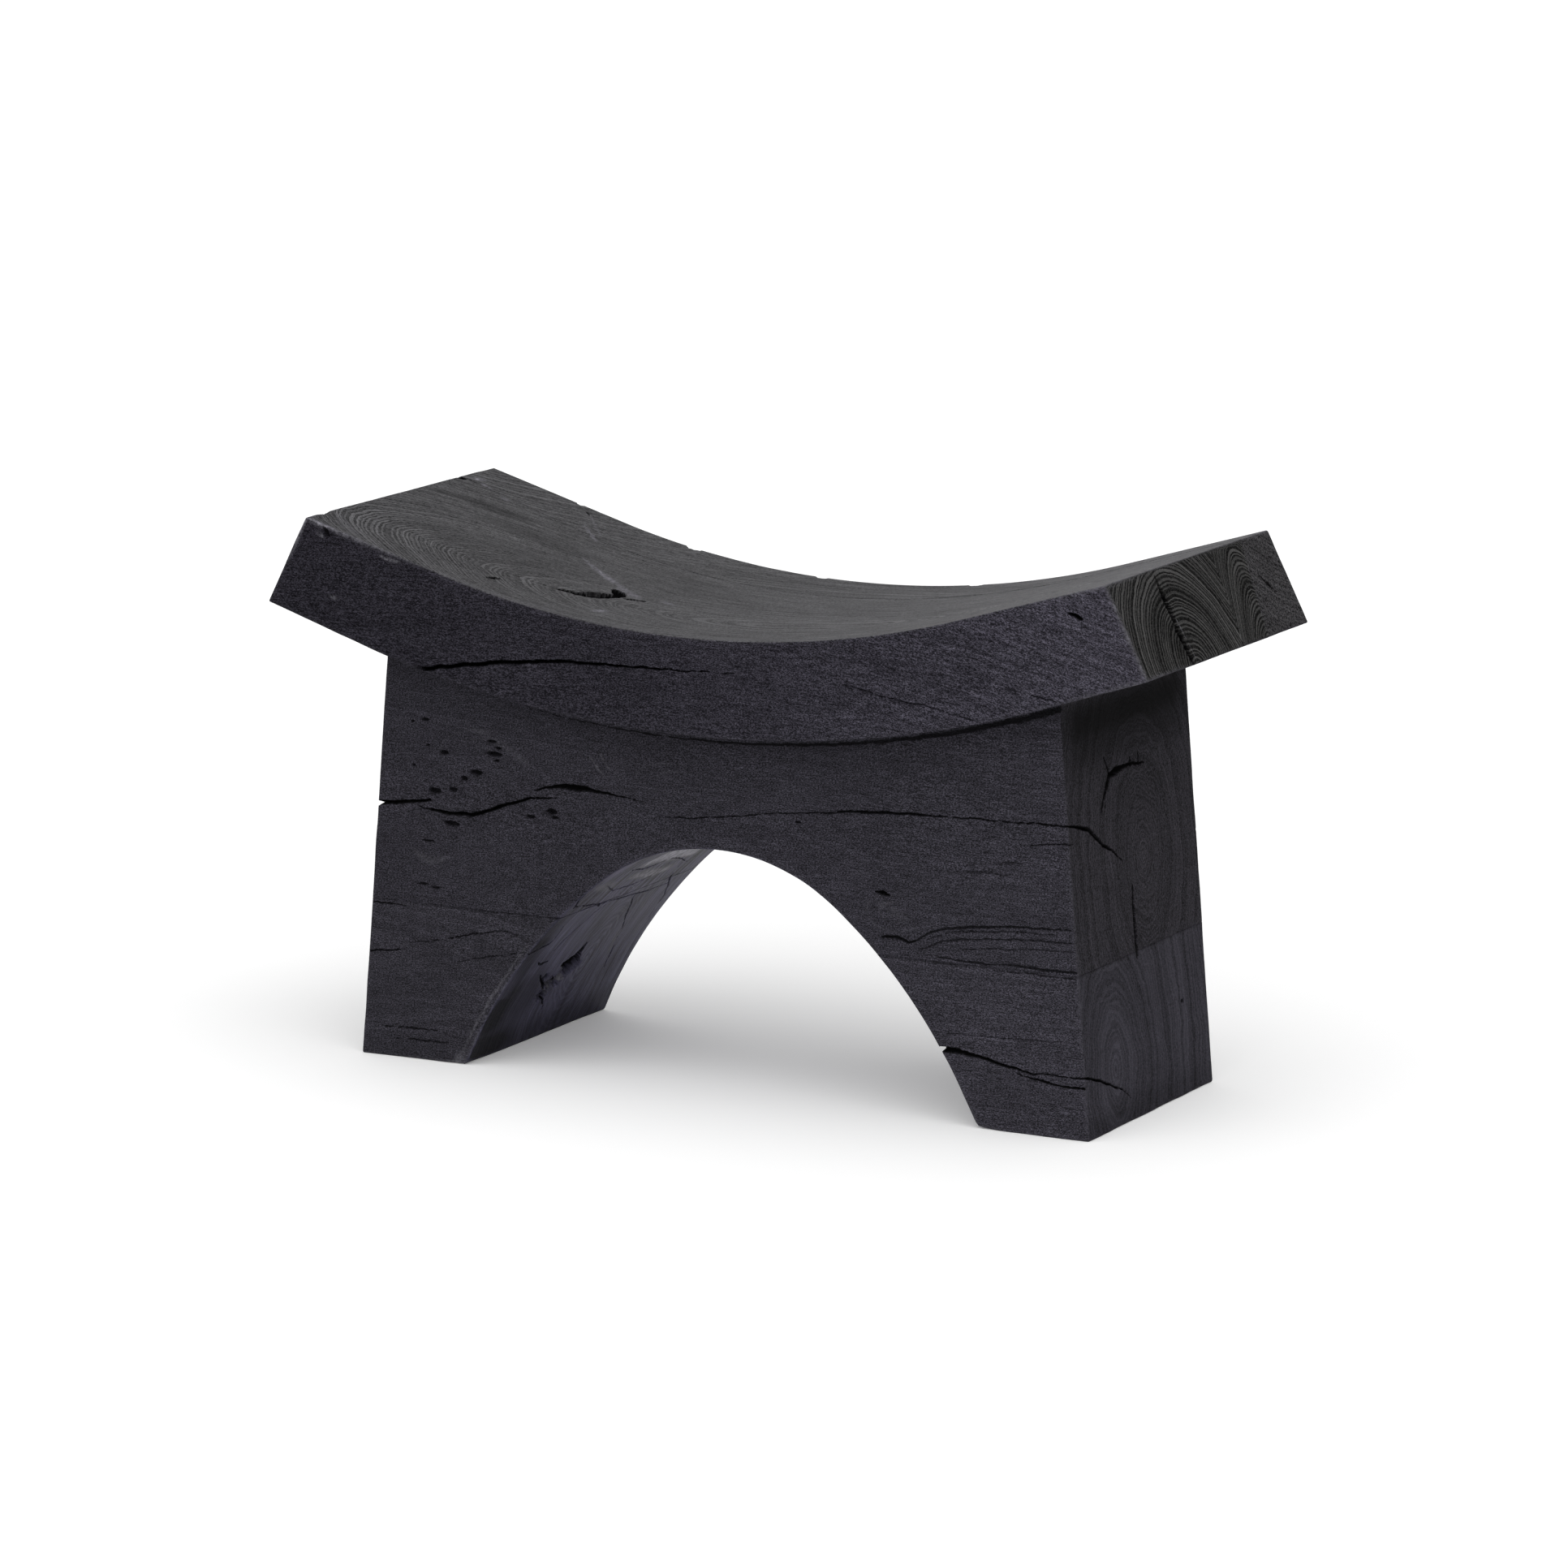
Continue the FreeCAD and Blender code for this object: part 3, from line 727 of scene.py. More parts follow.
def markSpacing(marks, points, wanted):
    for mark in marks["lines"]:
        if mark["kind"] == "shade":
            continue
        near, away, share = alongRoute(points, mark["route"], markReach)
        width = widthAt(mark, share)
        part, least, most, growth = markMesh[mark["kind"]]
        fine = np.clip(part * width, least, most) + growth * np.maximum(away - markSide * width, 0)
        wanted[near] = np.minimum(wanted[near], fine)
    part, least, most, growth = markMesh["hollow"]
    for hollow in marks["hollows"]:
        reach = np.array(hollow["reach"])
        out = (lengths((points - hollow["at"]) / reach) - 1) * reach.min()
        wanted = np.minimum(wanted, np.clip(part * reach.min(), least, most) + growth * np.maximum(out, 0))
    return wanted


# A mark's noise, as cell size, seed and amount: it bends the path, tears the rim and pits a hollow's floor.
markNoise = {"bend": ((7.0, 70, 0.7), (1.8, 73, 0.35)), "rim": ((2.2, 81, 0.6), (1.1, 82, 0.4)),
             "floor": ((3.1, 90, 0.35),)}


def summedNoise(points, kind, more=0):
    return sum(smoothNoise(points / cell, seed + more) * amount for cell, seed, amount in markNoise[kind])


# Shares are of half a mark's width or of its run, and a hollow's are of its reach.
pressing = {
    "rim": 0.5, "rimMost": 1.3, "lip": 0.12,            # a check's sloping side, from a lip outside it
    "edge": 0.5, "edgeMost": 0.6, "edgeInside": 0.25,   # the fading edge of its dark part
    "core": 0.3, "fringe": 1.1,                         # where a scuff starts to fade and is gone
    "endRun": 0.12, "endTone": 0.4,                     # how it fades at its ends
    "tatter": 0.8, "tatterLevel": 0.75, "tatterMost": 1.3,
    "wellFloor": 0.6, "wellRim": 0.95, "wellTatter": 0.5, "wellLevel": 0.75, "wellDark": 0.85,
}


# How deep each point is pushed in by the marks, how dark its place is (a hole: charred wood, and painted
# shade in the recess), and how pale or dark it is rubbed, or painted with shade and sheen. A check's sides
# are steep and its bottom flat, and its dark part ends just outside its rim. A scuff fades from its middle,
# raggedly. A shade is wide, so it keeps to its own kind of side.
def pressMarks(marks, points, rubbed, endGrain):
    kinds = {"top": rubbed, "arch": rubbed, "leftArch": rubbed, "leftEnd": endGrain, "rightEnd": endGrain}
    depth, hole, tone = (np.zeros(len(points)) for _ in range(3))
    bent = points + np.stack([summedNoise(points, "bend", k) for k in range(3)], 1)
    ragged, pits = summedNoise(points, "rim"), summedNoise(points, "floor")
    for mark in marks["lines"]:
        near, away, share = alongRoute(bent, mark["route"], max(markReach, markSide * max(mark["width"])))
        half = widthAt(mark, share) / 2
        if mark["kind"] == "check":
            rim = np.minimum(pressing["rim"] * half, pressing["rimMost"])
            groove = 1 - smoothStep(half - rim, half + pressing["lip"], away)
            taper = np.clip(half / max(mark["width"]) * 2, 0, 1)
            depth[near] = np.maximum(depth[near], groove * taper * mark["depth"])
            edge = np.minimum(pressing["edge"] * half, pressing["edgeMost"])
            dark = 1 - smoothStep(half - pressing["edgeInside"] * edge, half + edge, away)
            hole[near] = np.maximum(hole[near], -mark["tone"] * dark)
        else:
            ends = smoothStep(0, pressing["endRun"], share) * smoothStep(0, pressing["endRun"], 1 - share)
            soft = 1 - smoothStep(pressing["core"] * half, pressing["fringe"] * half, away)
            if mark["kind"] == "shade":
                soft = soft * kinds.get(mark["on"], 1 - rubbed - endGrain)[near]
            else:
                tatter = pressing["tatterLevel"] + ragged[near] * pressing["tatter"]
                soft = soft * np.clip(tatter, 0, pressing["tatterMost"])
            tone[near] += mark["tone"] * soft * mix(pressing["endTone"], 1, ends)
    for hollow in marks["hollows"]:
        out = lengths((points - hollow["at"]) / np.array(hollow["reach"]))
        out = out + ragged * hollow["rough"] * pressing["wellTatter"]
        well = 1 - smoothStep(pressing["wellFloor"], pressing["wellRim"], out)
        depth = np.maximum(depth, well * (pressing["wellLevel"] + pits) * hollow["depth"])
        hole = np.maximum(hole, hollow.get("dark", pressing["wellDark"]) * well)
    return depth, hole, tone


# How far the worn places widen an edge's easing, and how pale they rub it.
def wornAt(marks, points, key):
    total = np.zeros(len(points))
    for worn in marks["worn"]:
        total += worn[key] * np.exp(-(lengths(points - worn["at"]) / worn["reach"]) ** 2)
    return total


# The five timbers. Each is a box of a length, depth and height. Its easings and spacings are those of its
# left end, front and underside, then of its right end, rear and top. So are its joints and rubbed sides,
# where 1 is yes. A joint's side is hardly eased, and coarse because nothing shows it.
seatBlock = {"marks": seatMarks, "rubbed": ((0, 0, 0), (0, 0, 1))}
baseBlock = {"marks": baseMarks, "joints": ((0, 0, 0), (0, 0, 1))}
footBlock = {**baseBlock, "size": (120, 202, base["joint"]), "ease": ((1.4, 1.3, 3.2), (1.4, 1.4, 0.05))}
blocks = {
    "seatMainStave": {
        **seatBlock, "node": "seat_main_stave", "point": mainStavePoint, "size": (686, 206, 69),
        "ease": ((1.5, 1.2, 1.5), (1.5, 0.05, 1.2)), "joints": ((0, 0, 0), (0, 1, 0)),
        "spacing": ((2.8, 2.6, 6), (2.2, 14, 2.9)),
    },
    "seatRearStave": {
        **seatBlock, "node": "seat_rear_stave", "point": rearStavePoint, "size": (686, 58, 69),
        "ease": ((1.5, 0.05, 1.5), (1.5, 1.5, 1.2)), "joints": ((0, 1, 0), (0, 0, 0)),
        "spacing": ((2.8, 14, 6), (2.2, 3.0, 2.9)),
    },
    "archBeam": {
        **baseBlock, "node": "arch_beam", "point": beamPoint,
        "size": (2 * (archHalf + jointHalf - springX), 202, 150),
        "ease": ((1.4, 1.3, 1.6), (1.4, 1.4, 0.4)), "rubbed": ((0, 0, 1), (0, 0, 0)),
        "spacing": ((5.0, 4.8, 4.6), (3.8, 8.0, 18)), "jointRun": jointHalf - springX,
    },
    "leftFoot": {
        **footBlock, "node": "left_foot", "point": lambda q, size: footPoint(q, size, -1),
        "rubbed": ((0, 0, 0), (1, 0, 0)), "spacing": ((3.4, 2.6, 6), (2.4, 3.6, 14)),
    },
    "rightFoot": {
        **footBlock, "node": "right_foot", "point": lambda q, size: footPoint(q, size, 1),
        "rubbed": ((1, 0, 0), (0, 0, 0)), "spacing": ((2.8, 2.6, 6), (2.4, 3.6, 14)),
    },
}
unevenness = {
    "broad": 0.32, "broadSize": (170.0, 48.0, 48.0), "broadSeed": 3,  # slow hollows, longer along the grain
    "small": 0.12, "smallSize": (16.0, 6.0, 6.0), "smallSeed": 4,
    "rubbedEven": 0.6,      # how much of the small unevenness is rubbed away
    "wear": 0.35, "wearSize": 17, "wearSeed": 5,        # how the easing varies along an edge
    "paleEdge": 0.1, "paleSize": 3.0, "paleSeed": 6,    # how pale an edge is at least, and in what patches
    "patchLevel": 0.75, "patchReach": 0.5,
    "jointSwitch": 1.5,     # length over which the beam's joints turn into the arch
    "edgeReach": 1.9,       # how far from an edge its wear shows
    "jointEase": 0.05,
    "jointStrip": 0.6,      # width of the strip beside a joint that is shaded flat
    "hidden": 99.0,         # spacing that splits nothing
    "hiddenJoint": 14.0,    # spacing on the beam's joints
    "start": 9.0,           # spacing of the lattice that is refined
    "onSide": 1e-6,         # a point this near to a side lies on it
    "jointWeight": 1e-6,    # how much of a point a joint's side gets
    "noEdge": 999.0,        # distance where no edge shows
}


# 1 where the beam's lower side is the arch, 0 where it is a joint.
def archShare(block, q, size):
    run = block.get("jointRun", 0)
    if not run:
        return 1.0
    return smoothStep(-unevenness["jointSwitch"], 0, np.minimum(q[:, 0], size[0] - q[:, 0]) - run)


def buildBlock(name, block):
    size, marks = np.array(block["size"], float), block["marks"]
    (lowEase, highEase), (lowJoint, highJoint), (lowRubbed, highRubbed), (lowSpacing, highSpacing) = (
        np.array(block[key], float) for key in ("ease", "joints", "rubbed", "spacing"))
    onSide, start = unevenness["onSide"], unevenness["start"]
    q, tris = boxLattice([sideSteps(size[k], lowEase[k], highEase[k], start) for k in range(3)])

    def easingOf(q):
        sharp = block["point"](q, size)
        varied = smoothNoise(sharp / unevenness["wearSize"], unevenness["wearSeed"])
        wear = 1 + unevenness["wear"] * varied + wornAt(marks, sharp, "ease")
        low = lowEase * np.where(lowJoint > 0, 1, wear[:, None])
        high = highEase * np.where(highJoint > 0, 1, wear[:, None])
        low[:, 2] = mix(unevenness["jointEase"], low[:, 2], archShare(block, q, size))
        return low, high

    def placeOf(q):
        return block["point"](easeEdges(q, size, *easingOf(q)), size)

    def wantedOf(q, place):
        low = np.where(q < onSide, lowSpacing, unevenness["hidden"])
        hidden = np.maximum(low[:, 2], unevenness["hiddenJoint"])
        low[:, 2] = np.where(archShare(block, q, size) > 0, low[:, 2], hidden)
        high = np.where(q > size - onSide, highSpacing, unevenness["hidden"])
        return markSpacing(marks, place, np.minimum(low.min(1), high.min(1)))

    q, tris = refine(q, tris, placeOf, wantedOf)
    points = placeOf(q)

    # How much each point belongs to each of the six sides, from 0 to 1.
    low, high = easingOf(q)
    out = q - np.clip(q, low, size - high)
    arch = archShare(block, q, size)
    joined = np.where(out < 0, lowJoint, highJoint) > 0
    joined[:, 2] |= (out[:, 2] < 0) & (arch < 0.5)
    unit = np.where(joined, unevenness["jointWeight"], (out / np.where(out < 0, low, high)) ** 2)
    unit = unit / np.maximum(unit.sum(1), 1e-9)[:, None]
    lowPart, highPart = unit * (out < 0), unit * (out > 0)
    rubbed = (lowPart * lowRubbed + highPart * highRubbed).sum(1)
    rubbedEnd = np.maximum(lowRubbed[0] * (lowPart[:, 0] > 0), highRubbed[0] * (highPart[:, 0] > 0))
    endGrain = unit[:, 0] * (1 - rubbedEnd)

    # Distance to the nearest edge that shows.
    lowAway = np.where(lowJoint > 0, unevenness["noEdge"], q)
    lowAway[:, 2] = np.where(arch < 0.5, unevenness["noEdge"], lowAway[:, 2])
    highAway = np.where(highJoint > 0, unevenness["noEdge"], size - q)
    away = np.sort(np.concatenate((lowAway, highAway), 1), axis=1)[:, 1]

    depth, hole, tone = pressMarks(marks, points, rubbed, endGrain)
    broad, small, patches = (
        smoothNoise(points / np.array(unevenness[key + "Size"]), unevenness[key + "Seed"])
        for key in ("broad", "small", "pale"))
    depth = depth + (0.5 + 0.5 * broad) * unevenness["broad"]
    depth = depth + (0.5 + 0.5 * small) * unevenness["small"] * (1 - unevenness["rubbedEven"] * rubbed)
    rub = np.exp(-(away / unevenness["edgeReach"]) ** 2)
    patchy = unevenness["patchLevel"] + unevenness["patchReach"] * patches
    # pale holds worn edges and the marks' tone, which has real scuffs as well as painted shade and sheen.
    pale = rub * (unevenness["paleEdge"] + wornAt(marks, points, "pale")) * patchy + tone

    # Triangles that lie within a width of a joint's side.
    def nearJoint(width):
        low, high = (q[tris] < width).all(1), (q[tris] > size - width).all(1)
        underJoint = np.broadcast_to(arch, len(q))[tris].mean(1) < 0.5
        return (low & (lowJoint > 0)).any(1) | (high & (highJoint > 0)).any(1) | (low[:, 2] & underJoint)

    # A joint's triangles stay out of the normals: its points stay put, and its edges are pushed straight in.
    points = points - cornerNormals(points, tris[~nearJoint(onSide)]) * depth[:, None]
    points = np.clip(points, *cadBox(block["node"]))

    piece = makeMesh(name, points, tris, ~nearJoint(unevenness["jointStrip"]))
    for key, values in (("endGrain", endGrain), ("rubbed", rubbed), ("hole", hole), ("pale", pale)):
        piece.data.attributes.new(key, "FLOAT", "POINT").data.foreach_set("value", values.astype(np.float32))
    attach(piece, "root")
    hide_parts(block["node"])
    print(name, "has", len(tris), "triangles")
    return piece


timbers = {name: buildBlock(name, block) for name, block in blocks.items()}


# A socket that can be used in sums; numbers and sockets mix freely.
class Wire:
    def __init__(self, tree, socket=None):
        self.tree, self.socket = tree, socket

    # Any node: its type, its settings, then its sockets' values or links.
    def node(self, kind, settings=None, sockets=None, out=0):
        made = self.tree.nodes.new(kind)
        for name, value in (settings or {}).items():
            setattr(made, name, value)
        for name, value in (sockets or {}).items():
            if isinstance(value, Wire):
                self.tree.links.new(value.socket, made.inputs[name])
            else:
                made.inputs[name].default_value = value
        return Wire(self.tree, made.outputs[out] if made.outputs else None)

    def maths(self, operation, *values):
        return self.node("ShaderNodeMath", {"operation": operation}, dict(enumerate(values)))

    def atLeast(self, other):
        return self.maths("MAXIMUM", self, other)

    def atMost(self, other):
        return self.maths("MINIMUM", self, other)

    def scaled(self, factor):
        return self.node("ShaderNodeVectorMath", {"operation": "SCALE"}, {0: self, "Scale": factor})

    def parts(self):
        return [self.node("ShaderNodeSeparateXYZ", None, {0: self}, out=k) for k in range(3)]

    def vector(self, *values):
        return self.node("ShaderNodeCombineXYZ", None, dict(enumerate(values)))

    def __add__(self, other):
        return self.maths("ADD", self, other)

    def __sub__(self, other):
        return self.maths("SUBTRACT", self, other)

    def __rsub__(self, other):
        return self.maths("SUBTRACT", other, self)

    def __mul__(self, other):
        return self.maths("MULTIPLY", self, other)

    def __truediv__(self, other):
        return self.maths("DIVIDE", self, other)

    __radd__, __rmul__ = __add__, __mul__

    # From 0 to 1 as the value goes from low to high, by a smooth step.
    def between(self, low, high):
        return self.node("ShaderNodeMapRange", {"interpolation_type": "SMOOTHSTEP"},
                         {"Value": self, "From Min": low, "From Max": high})

    # Noise from 0 to 1 at this place, in cells of a size in millimetres. The shift picks another pattern.
    def noise(self, size, detail=2.0, roughness=0.5, shift=0.0):
        cell = self.node("ShaderNodeVectorMath", {"operation": "DIVIDE"}, {0: self, 1: size})
        moved = self.node("ShaderNodeVectorMath", {"operation": "ADD"}, {0: cell, 1: (shift, shift, shift)})
        return self.node("ShaderNodeTexNoise", None, {"Vector": moved, "Scale": 1.0, "Detail": detail,
                                                      "Roughness": roughness})

    # The same along a line: for a value, in cells of the given size.
    def stripes(self, size, detail):
        return self.node("ShaderNodeTexNoise", {"noise_dimensions": "1D"},
                         {"W": self / size, "Scale": 1.0, "Detail": detail, "Roughness": 0.6})

    def mixed(self, colour, share):
        return self.node("ShaderNodeMix", {"data_type": "RGBA"}, {0: share, 6: self, 7: (*colour, 1)}, 2)


def newMaterial(name):
    material = bpy.data.materials.new(name)
    material.use_nodes = True
    return material, Wire(material.node_tree), material.node_tree.nodes["Principled BSDF"]


def plug(shader, wires):
    for name, wire in wires.items():
        wire.tree.links.new(wire.socket, shader.inputs[name])


# Finish of the blackened timber. The rings go round the pith, a line with the given Y and Z at the middle of
# the stool, which leans by so much for each length in X. Sizes are in millimetres, and a tone multiplies the
# colour.
# paintedLight and paintedSheen make each timber's colour grow along X towards the right end: painted light
# on the brushed sides and a painted sheen on the rubbed top.
seatLook = {
    "tall": 1.0, "paintedLight": (0.55, 0.27), "paintedSheen": (0.39, 0.22), "specular": 0.02,
    "brushedColour": (0.0310, 0.0290, 0.0376), "grit": 1.45, "combed": 0.38, "endBands": 0.3,
    "rubbedColour": (0.0780, 0.0770, 0.0810), "rubbedCells": (60.0, 3.4, 3.4), "rubbedContrast": 0.3,
    "rubbedWisps": 0.22, "rubbedGrit": 0.8, "rubbedRough": 0.6,
}
baseLook = {
    "tall": 0.62, "dip": 0.0, "paintedLight": (0.13, 0.0), "paintedSheen": (0.0, 0.0), "specular": 0.1, "combed": 0.2,
    "rubbedCells": (60.0, 7.0, 60.0), "rubbedContrast": 0.5, "rubbedWisps": 0.3, "rubbedLines": 0.15,
    "rubbedGrit": 0.4, "rubbedRough": 0.46,
}
timberLooks = {
    "seatMainStave": {
        **seatLook, "pith": (-62.7, 302.0), "lean": (0.0385, 0.065), "column": 66.0, "columnBend": 32.0,
        "dip": 0.0005, "wander": 2.5, "shift": 3.0, "ringSize": 0.7, "endRing": 1.6, "bandSize": 9.0,
        "endContrast": 2.2, "endGrit": 1.1, "endColour": (0.0315, 0.0310, 0.0308), "rubbedLines": 0.6,
    },
    "seatRearStave": {
        **seatLook, "pith": (150.0, 452.0), "lean": (0.02, 0.03),
        "dip": 0.0004, "wander": 5.0, "shift": 17.0, "ringSize": 1.7, "endRing": 1.9, "bandSize": 12.0,
        "endContrast": 0.5, "endGrit": 1.7, "endColour": (0.0430, 0.0415, 0.0440), "rubbedLines": 0.35,
    },
    "archBeam": {
        **baseLook, "pith": (5.0, 171.0), "lean": (0.03, 0.02), "wander": 10.0, "shift": 29.0,
        "brushedColour": (0.0340, 0.0320, 0.0412), "grit": 1.55, "ringSize": 1.0, "endRing": 1.3,
        "bandSize": 12.0, "endContrast": 0.6, "endBands": 0.35, "endGrit": 1.3,
        "endColour": (0.0285, 0.0265, 0.0322), "rubbedColour": (0.076, 0.0705, 0.108),
        "rubbedCells": (50.0, 6.0, 50.0), "rubbedContrast": 1.5, "rubbedWisps": 0.8, "rubbedLines": 0.3,
        "rubbedGrit": 0.6,
    },
    "leftFoot": {
        **baseLook, "pith": (18.0, 58.0), "lean": (0.02, 0.02), "wander": 6.0, "shift": 41.0,
        "brushedColour": (0.0350, 0.0330, 0.0420), "grit": 1.4, "ringSize": 2.0, "endRing": 2.0,
        "bandSize": 16.0, "endContrast": 0.8, "endBands": 0.7, "endGrit": 0.6,
        "endColour": (0.0305, 0.0290, 0.0365), "rubbedColour": (0.095, 0.090, 0.136),
    },
    "rightFoot": {
        **baseLook, "pith": (-51.0, 40.0), "lean": (0.0, 0.0), "tall": 0.6, "wander": 8.0, "shift": 53.0,
        "brushedColour": (0.0375, 0.0352, 0.0452), "grit": 1.45, "ringSize": 2.3, "endRing": 1.9,
        "bandSize": 15.0, "endContrast": 0.45, "endBands": 0.6, "endGrit": 0.8,
        "endColour": (0.0390, 0.0368, 0.0465), "rubbedColour": (0.064, 0.0615, 0.080),
    },
}
finish = {
    "patchCells": (90, 34, 34), "patchReach": 0.5, "patchLevel": 0.75,    # broad lighter and darker patches
    "brushedRough": 0.8, "endRough": 0.88, "holeRough": 0.3, "mottleRough": 0.12, "lineRough": 0.1,
    "bump": 0.7, "endHeight": 0.1, "rubbedHeight": 0.04, "poreHeight": 0.05,
    "combRun": 170.0, "combLeast": 0.12,      # how brushed streaks grow towards the right end
    "leftFrom": -0.3, "leftGrowth": 2.6, "leftLeast": 0.6,    # how rubbed rings grow towards the left end
    "paleWisps": (0.52, 0.7), "darkWisps": (0.48, 0.34), "poresOnRubbed": 0.6, "mottleOnEnds": 0.6,
    "bareMottle": 1.4, "bareLevel": 0.9, "bareMost": 0.95,    # where the pale wood shows
    # The palest marks are pale scratches, and also the painted sheen on the intrados.
    "darkest": 0.1, "shineFrom": 0.9, "shineGrowth": 1.2,     # the palest marks also brighten the wood
    "paleColour": (0.135, 0.131, 0.149),      # bare edges and scratches
    "charAndShadeColour": (0.0022, 0.0021, 0.0024),   # charred depths of the checks, and painted shade in these recesses
}


# Age of the wood at a place: its distance from the pith, squashed in height and made to wander. Each way in
# which it wanders is noise, in cells along X, Y and Z, with a shift and a reach.
wandering = {
    "swayY": ((260, 70, 70), 0, 14), "swayZ": ((200, 60, 60), 5, 10), "fine": ((20, 3.0, 3.0), 2, 0.7),
    "broad": (90, 16, 16), "columnRise": 11, "columnOnFaces": 90, "columnBlend": 4.0,
}


def woodAge(sheet, place, look, endGrain):
    x, y, z = place.parts()
    shift = look["shift"]
    swayY, swayZ, fine = (
        (place.noise(cells, 1.0, shift=shift + moved) - 0.5) * reach
        for cells, moved, reach in (wandering[key] for key in ("swayY", "swayZ", "fine")))
    across = y - (x * look["lean"][0] + look["pith"][0]) + swayY
    up = z - (x * look["lean"][1] + look["pith"][1]) + swayZ
    up = up * look["tall"]
    age = sheet.maths("SQRT", across * across + up * up)
    if "column" in look:  # a second stack of rings, in narrow arches beside the seam
        beside = y - look["column"]
        column = up + beside * beside / look["columnBend"] + wandering["columnRise"]
        column = column + (1 - endGrain) * wandering["columnOnFaces"]
        age = sheet.maths("SMOOTH_MIN", age, column, wandering["columnBlend"])
    return age + (place.noise(wandering["broad"], 2.0, shift=shift + 1) - 0.5) * look["wander"] + fine


# Each texture is noise: cells along and across the grain, detail, roughness, shift, where it sets in and is
# full. A brushed face has fine specks and sparks in loose clusters, partly its pale raised grain and partly
# painted glints, dark dashes, pale threads, long streaks and curls, and every side has pores and mottle.
textures = {
    "specks": ((1.2, 0.6, 0.6), 1, 0.6, 10, 0.36, 0.66),
    "glintSparks": ((1.7, 0.8, 0.8), 1, 0.6, 12, 0.57, 0.72),
    "clusters": ((30, 6, 6), 3, 0.6, 11, 0.3, 0.75),
    "dashes": ((8, 0.9, 0.9), 2, 0.6, 13, 0.53, 0.66),
    "threads": ((11, 0.8, 0.8), 2, 0.6, 15, 0.54, 0.68),
    "streaks": ((40, 1.9, 1.9), 3, 0.62, 14, 0.3, 0.7),
    "curls": ((9, 2.2, 2.2), 2, 0.6, 16, 0.35, 0.65),
    "pores": ((0.9, 0.9, 0.9), 1, 0.5, 7, 0.25, 0.75),
    "mottle": ((1.8, 1.8, 1.8), 2, 0.6, 12, 0.28, 0.72),
}
brushing = {
    "speckMean": 0.46, "sparkLeast": 0.45, "threads": 0.3, "level": 0.96, "darkest": 0.22,
    "dashes": 0.45, "curls": 0.16, "lines": 0.22, "lineLevel": 0.92,
    "brightHeight": 0.3, "dashHeight": 0.25, "streakHeight": 0.12,
}


def textureAt(place, key, shift):
    cells, detail, rough, moved, low, high = textures[key]
    return place.noise(cells, detail, rough, shift + moved).between(low, high)


# The tone of a brushed face, and its height for the bump.
def brushedTone(place, lines, grit, combed, shift):
    specks, glintSparks, clusters, dashes, threads, streaks, curls = (
        textureAt(place, key, shift)
        for key in ("specks", "glintSparks", "clusters", "dashes", "threads", "streaks", "curls"))
    streaks = streaks - 0.5
    # Specks and sparks: pale raised grain, and painted glints.
    bright = (specks - brushing["speckMean"]) * grit + glintSparks * (clusters + brushing["sparkLeast"])
    bright = bright + threads * brushing["threads"]
    tone = (bright + brushing["level"]).atLeast(brushing["darkest"]) * (1 - dashes * brushing["dashes"])
    tone = tone * ((curls - 0.5) * brushing["curls"] + 1)
    tone = tone * (streaks * combed + 1) * (lines * brushing["lines"] + brushing["lineLevel"])
    height = bright * brushing["brightHeight"] - dashes * brushing["dashHeight"]
    return tone, height + streaks * brushing["streakHeight"]


# Ring lines: bands a few rings wide shift the wave's phase and decide how much its lines stand out.
rings = {
    "bandRings": 6, "bandPhase": 9, "wave": 0.22, "noiseRings": 0.8,
    "line": (0.42, 0.66), "band": (0.3, 0.65), "bandShare": 0.6, "bandLeast": 0.4,
    "broadBand": (0.3, 0.7), "lineMean": 0.3,
}


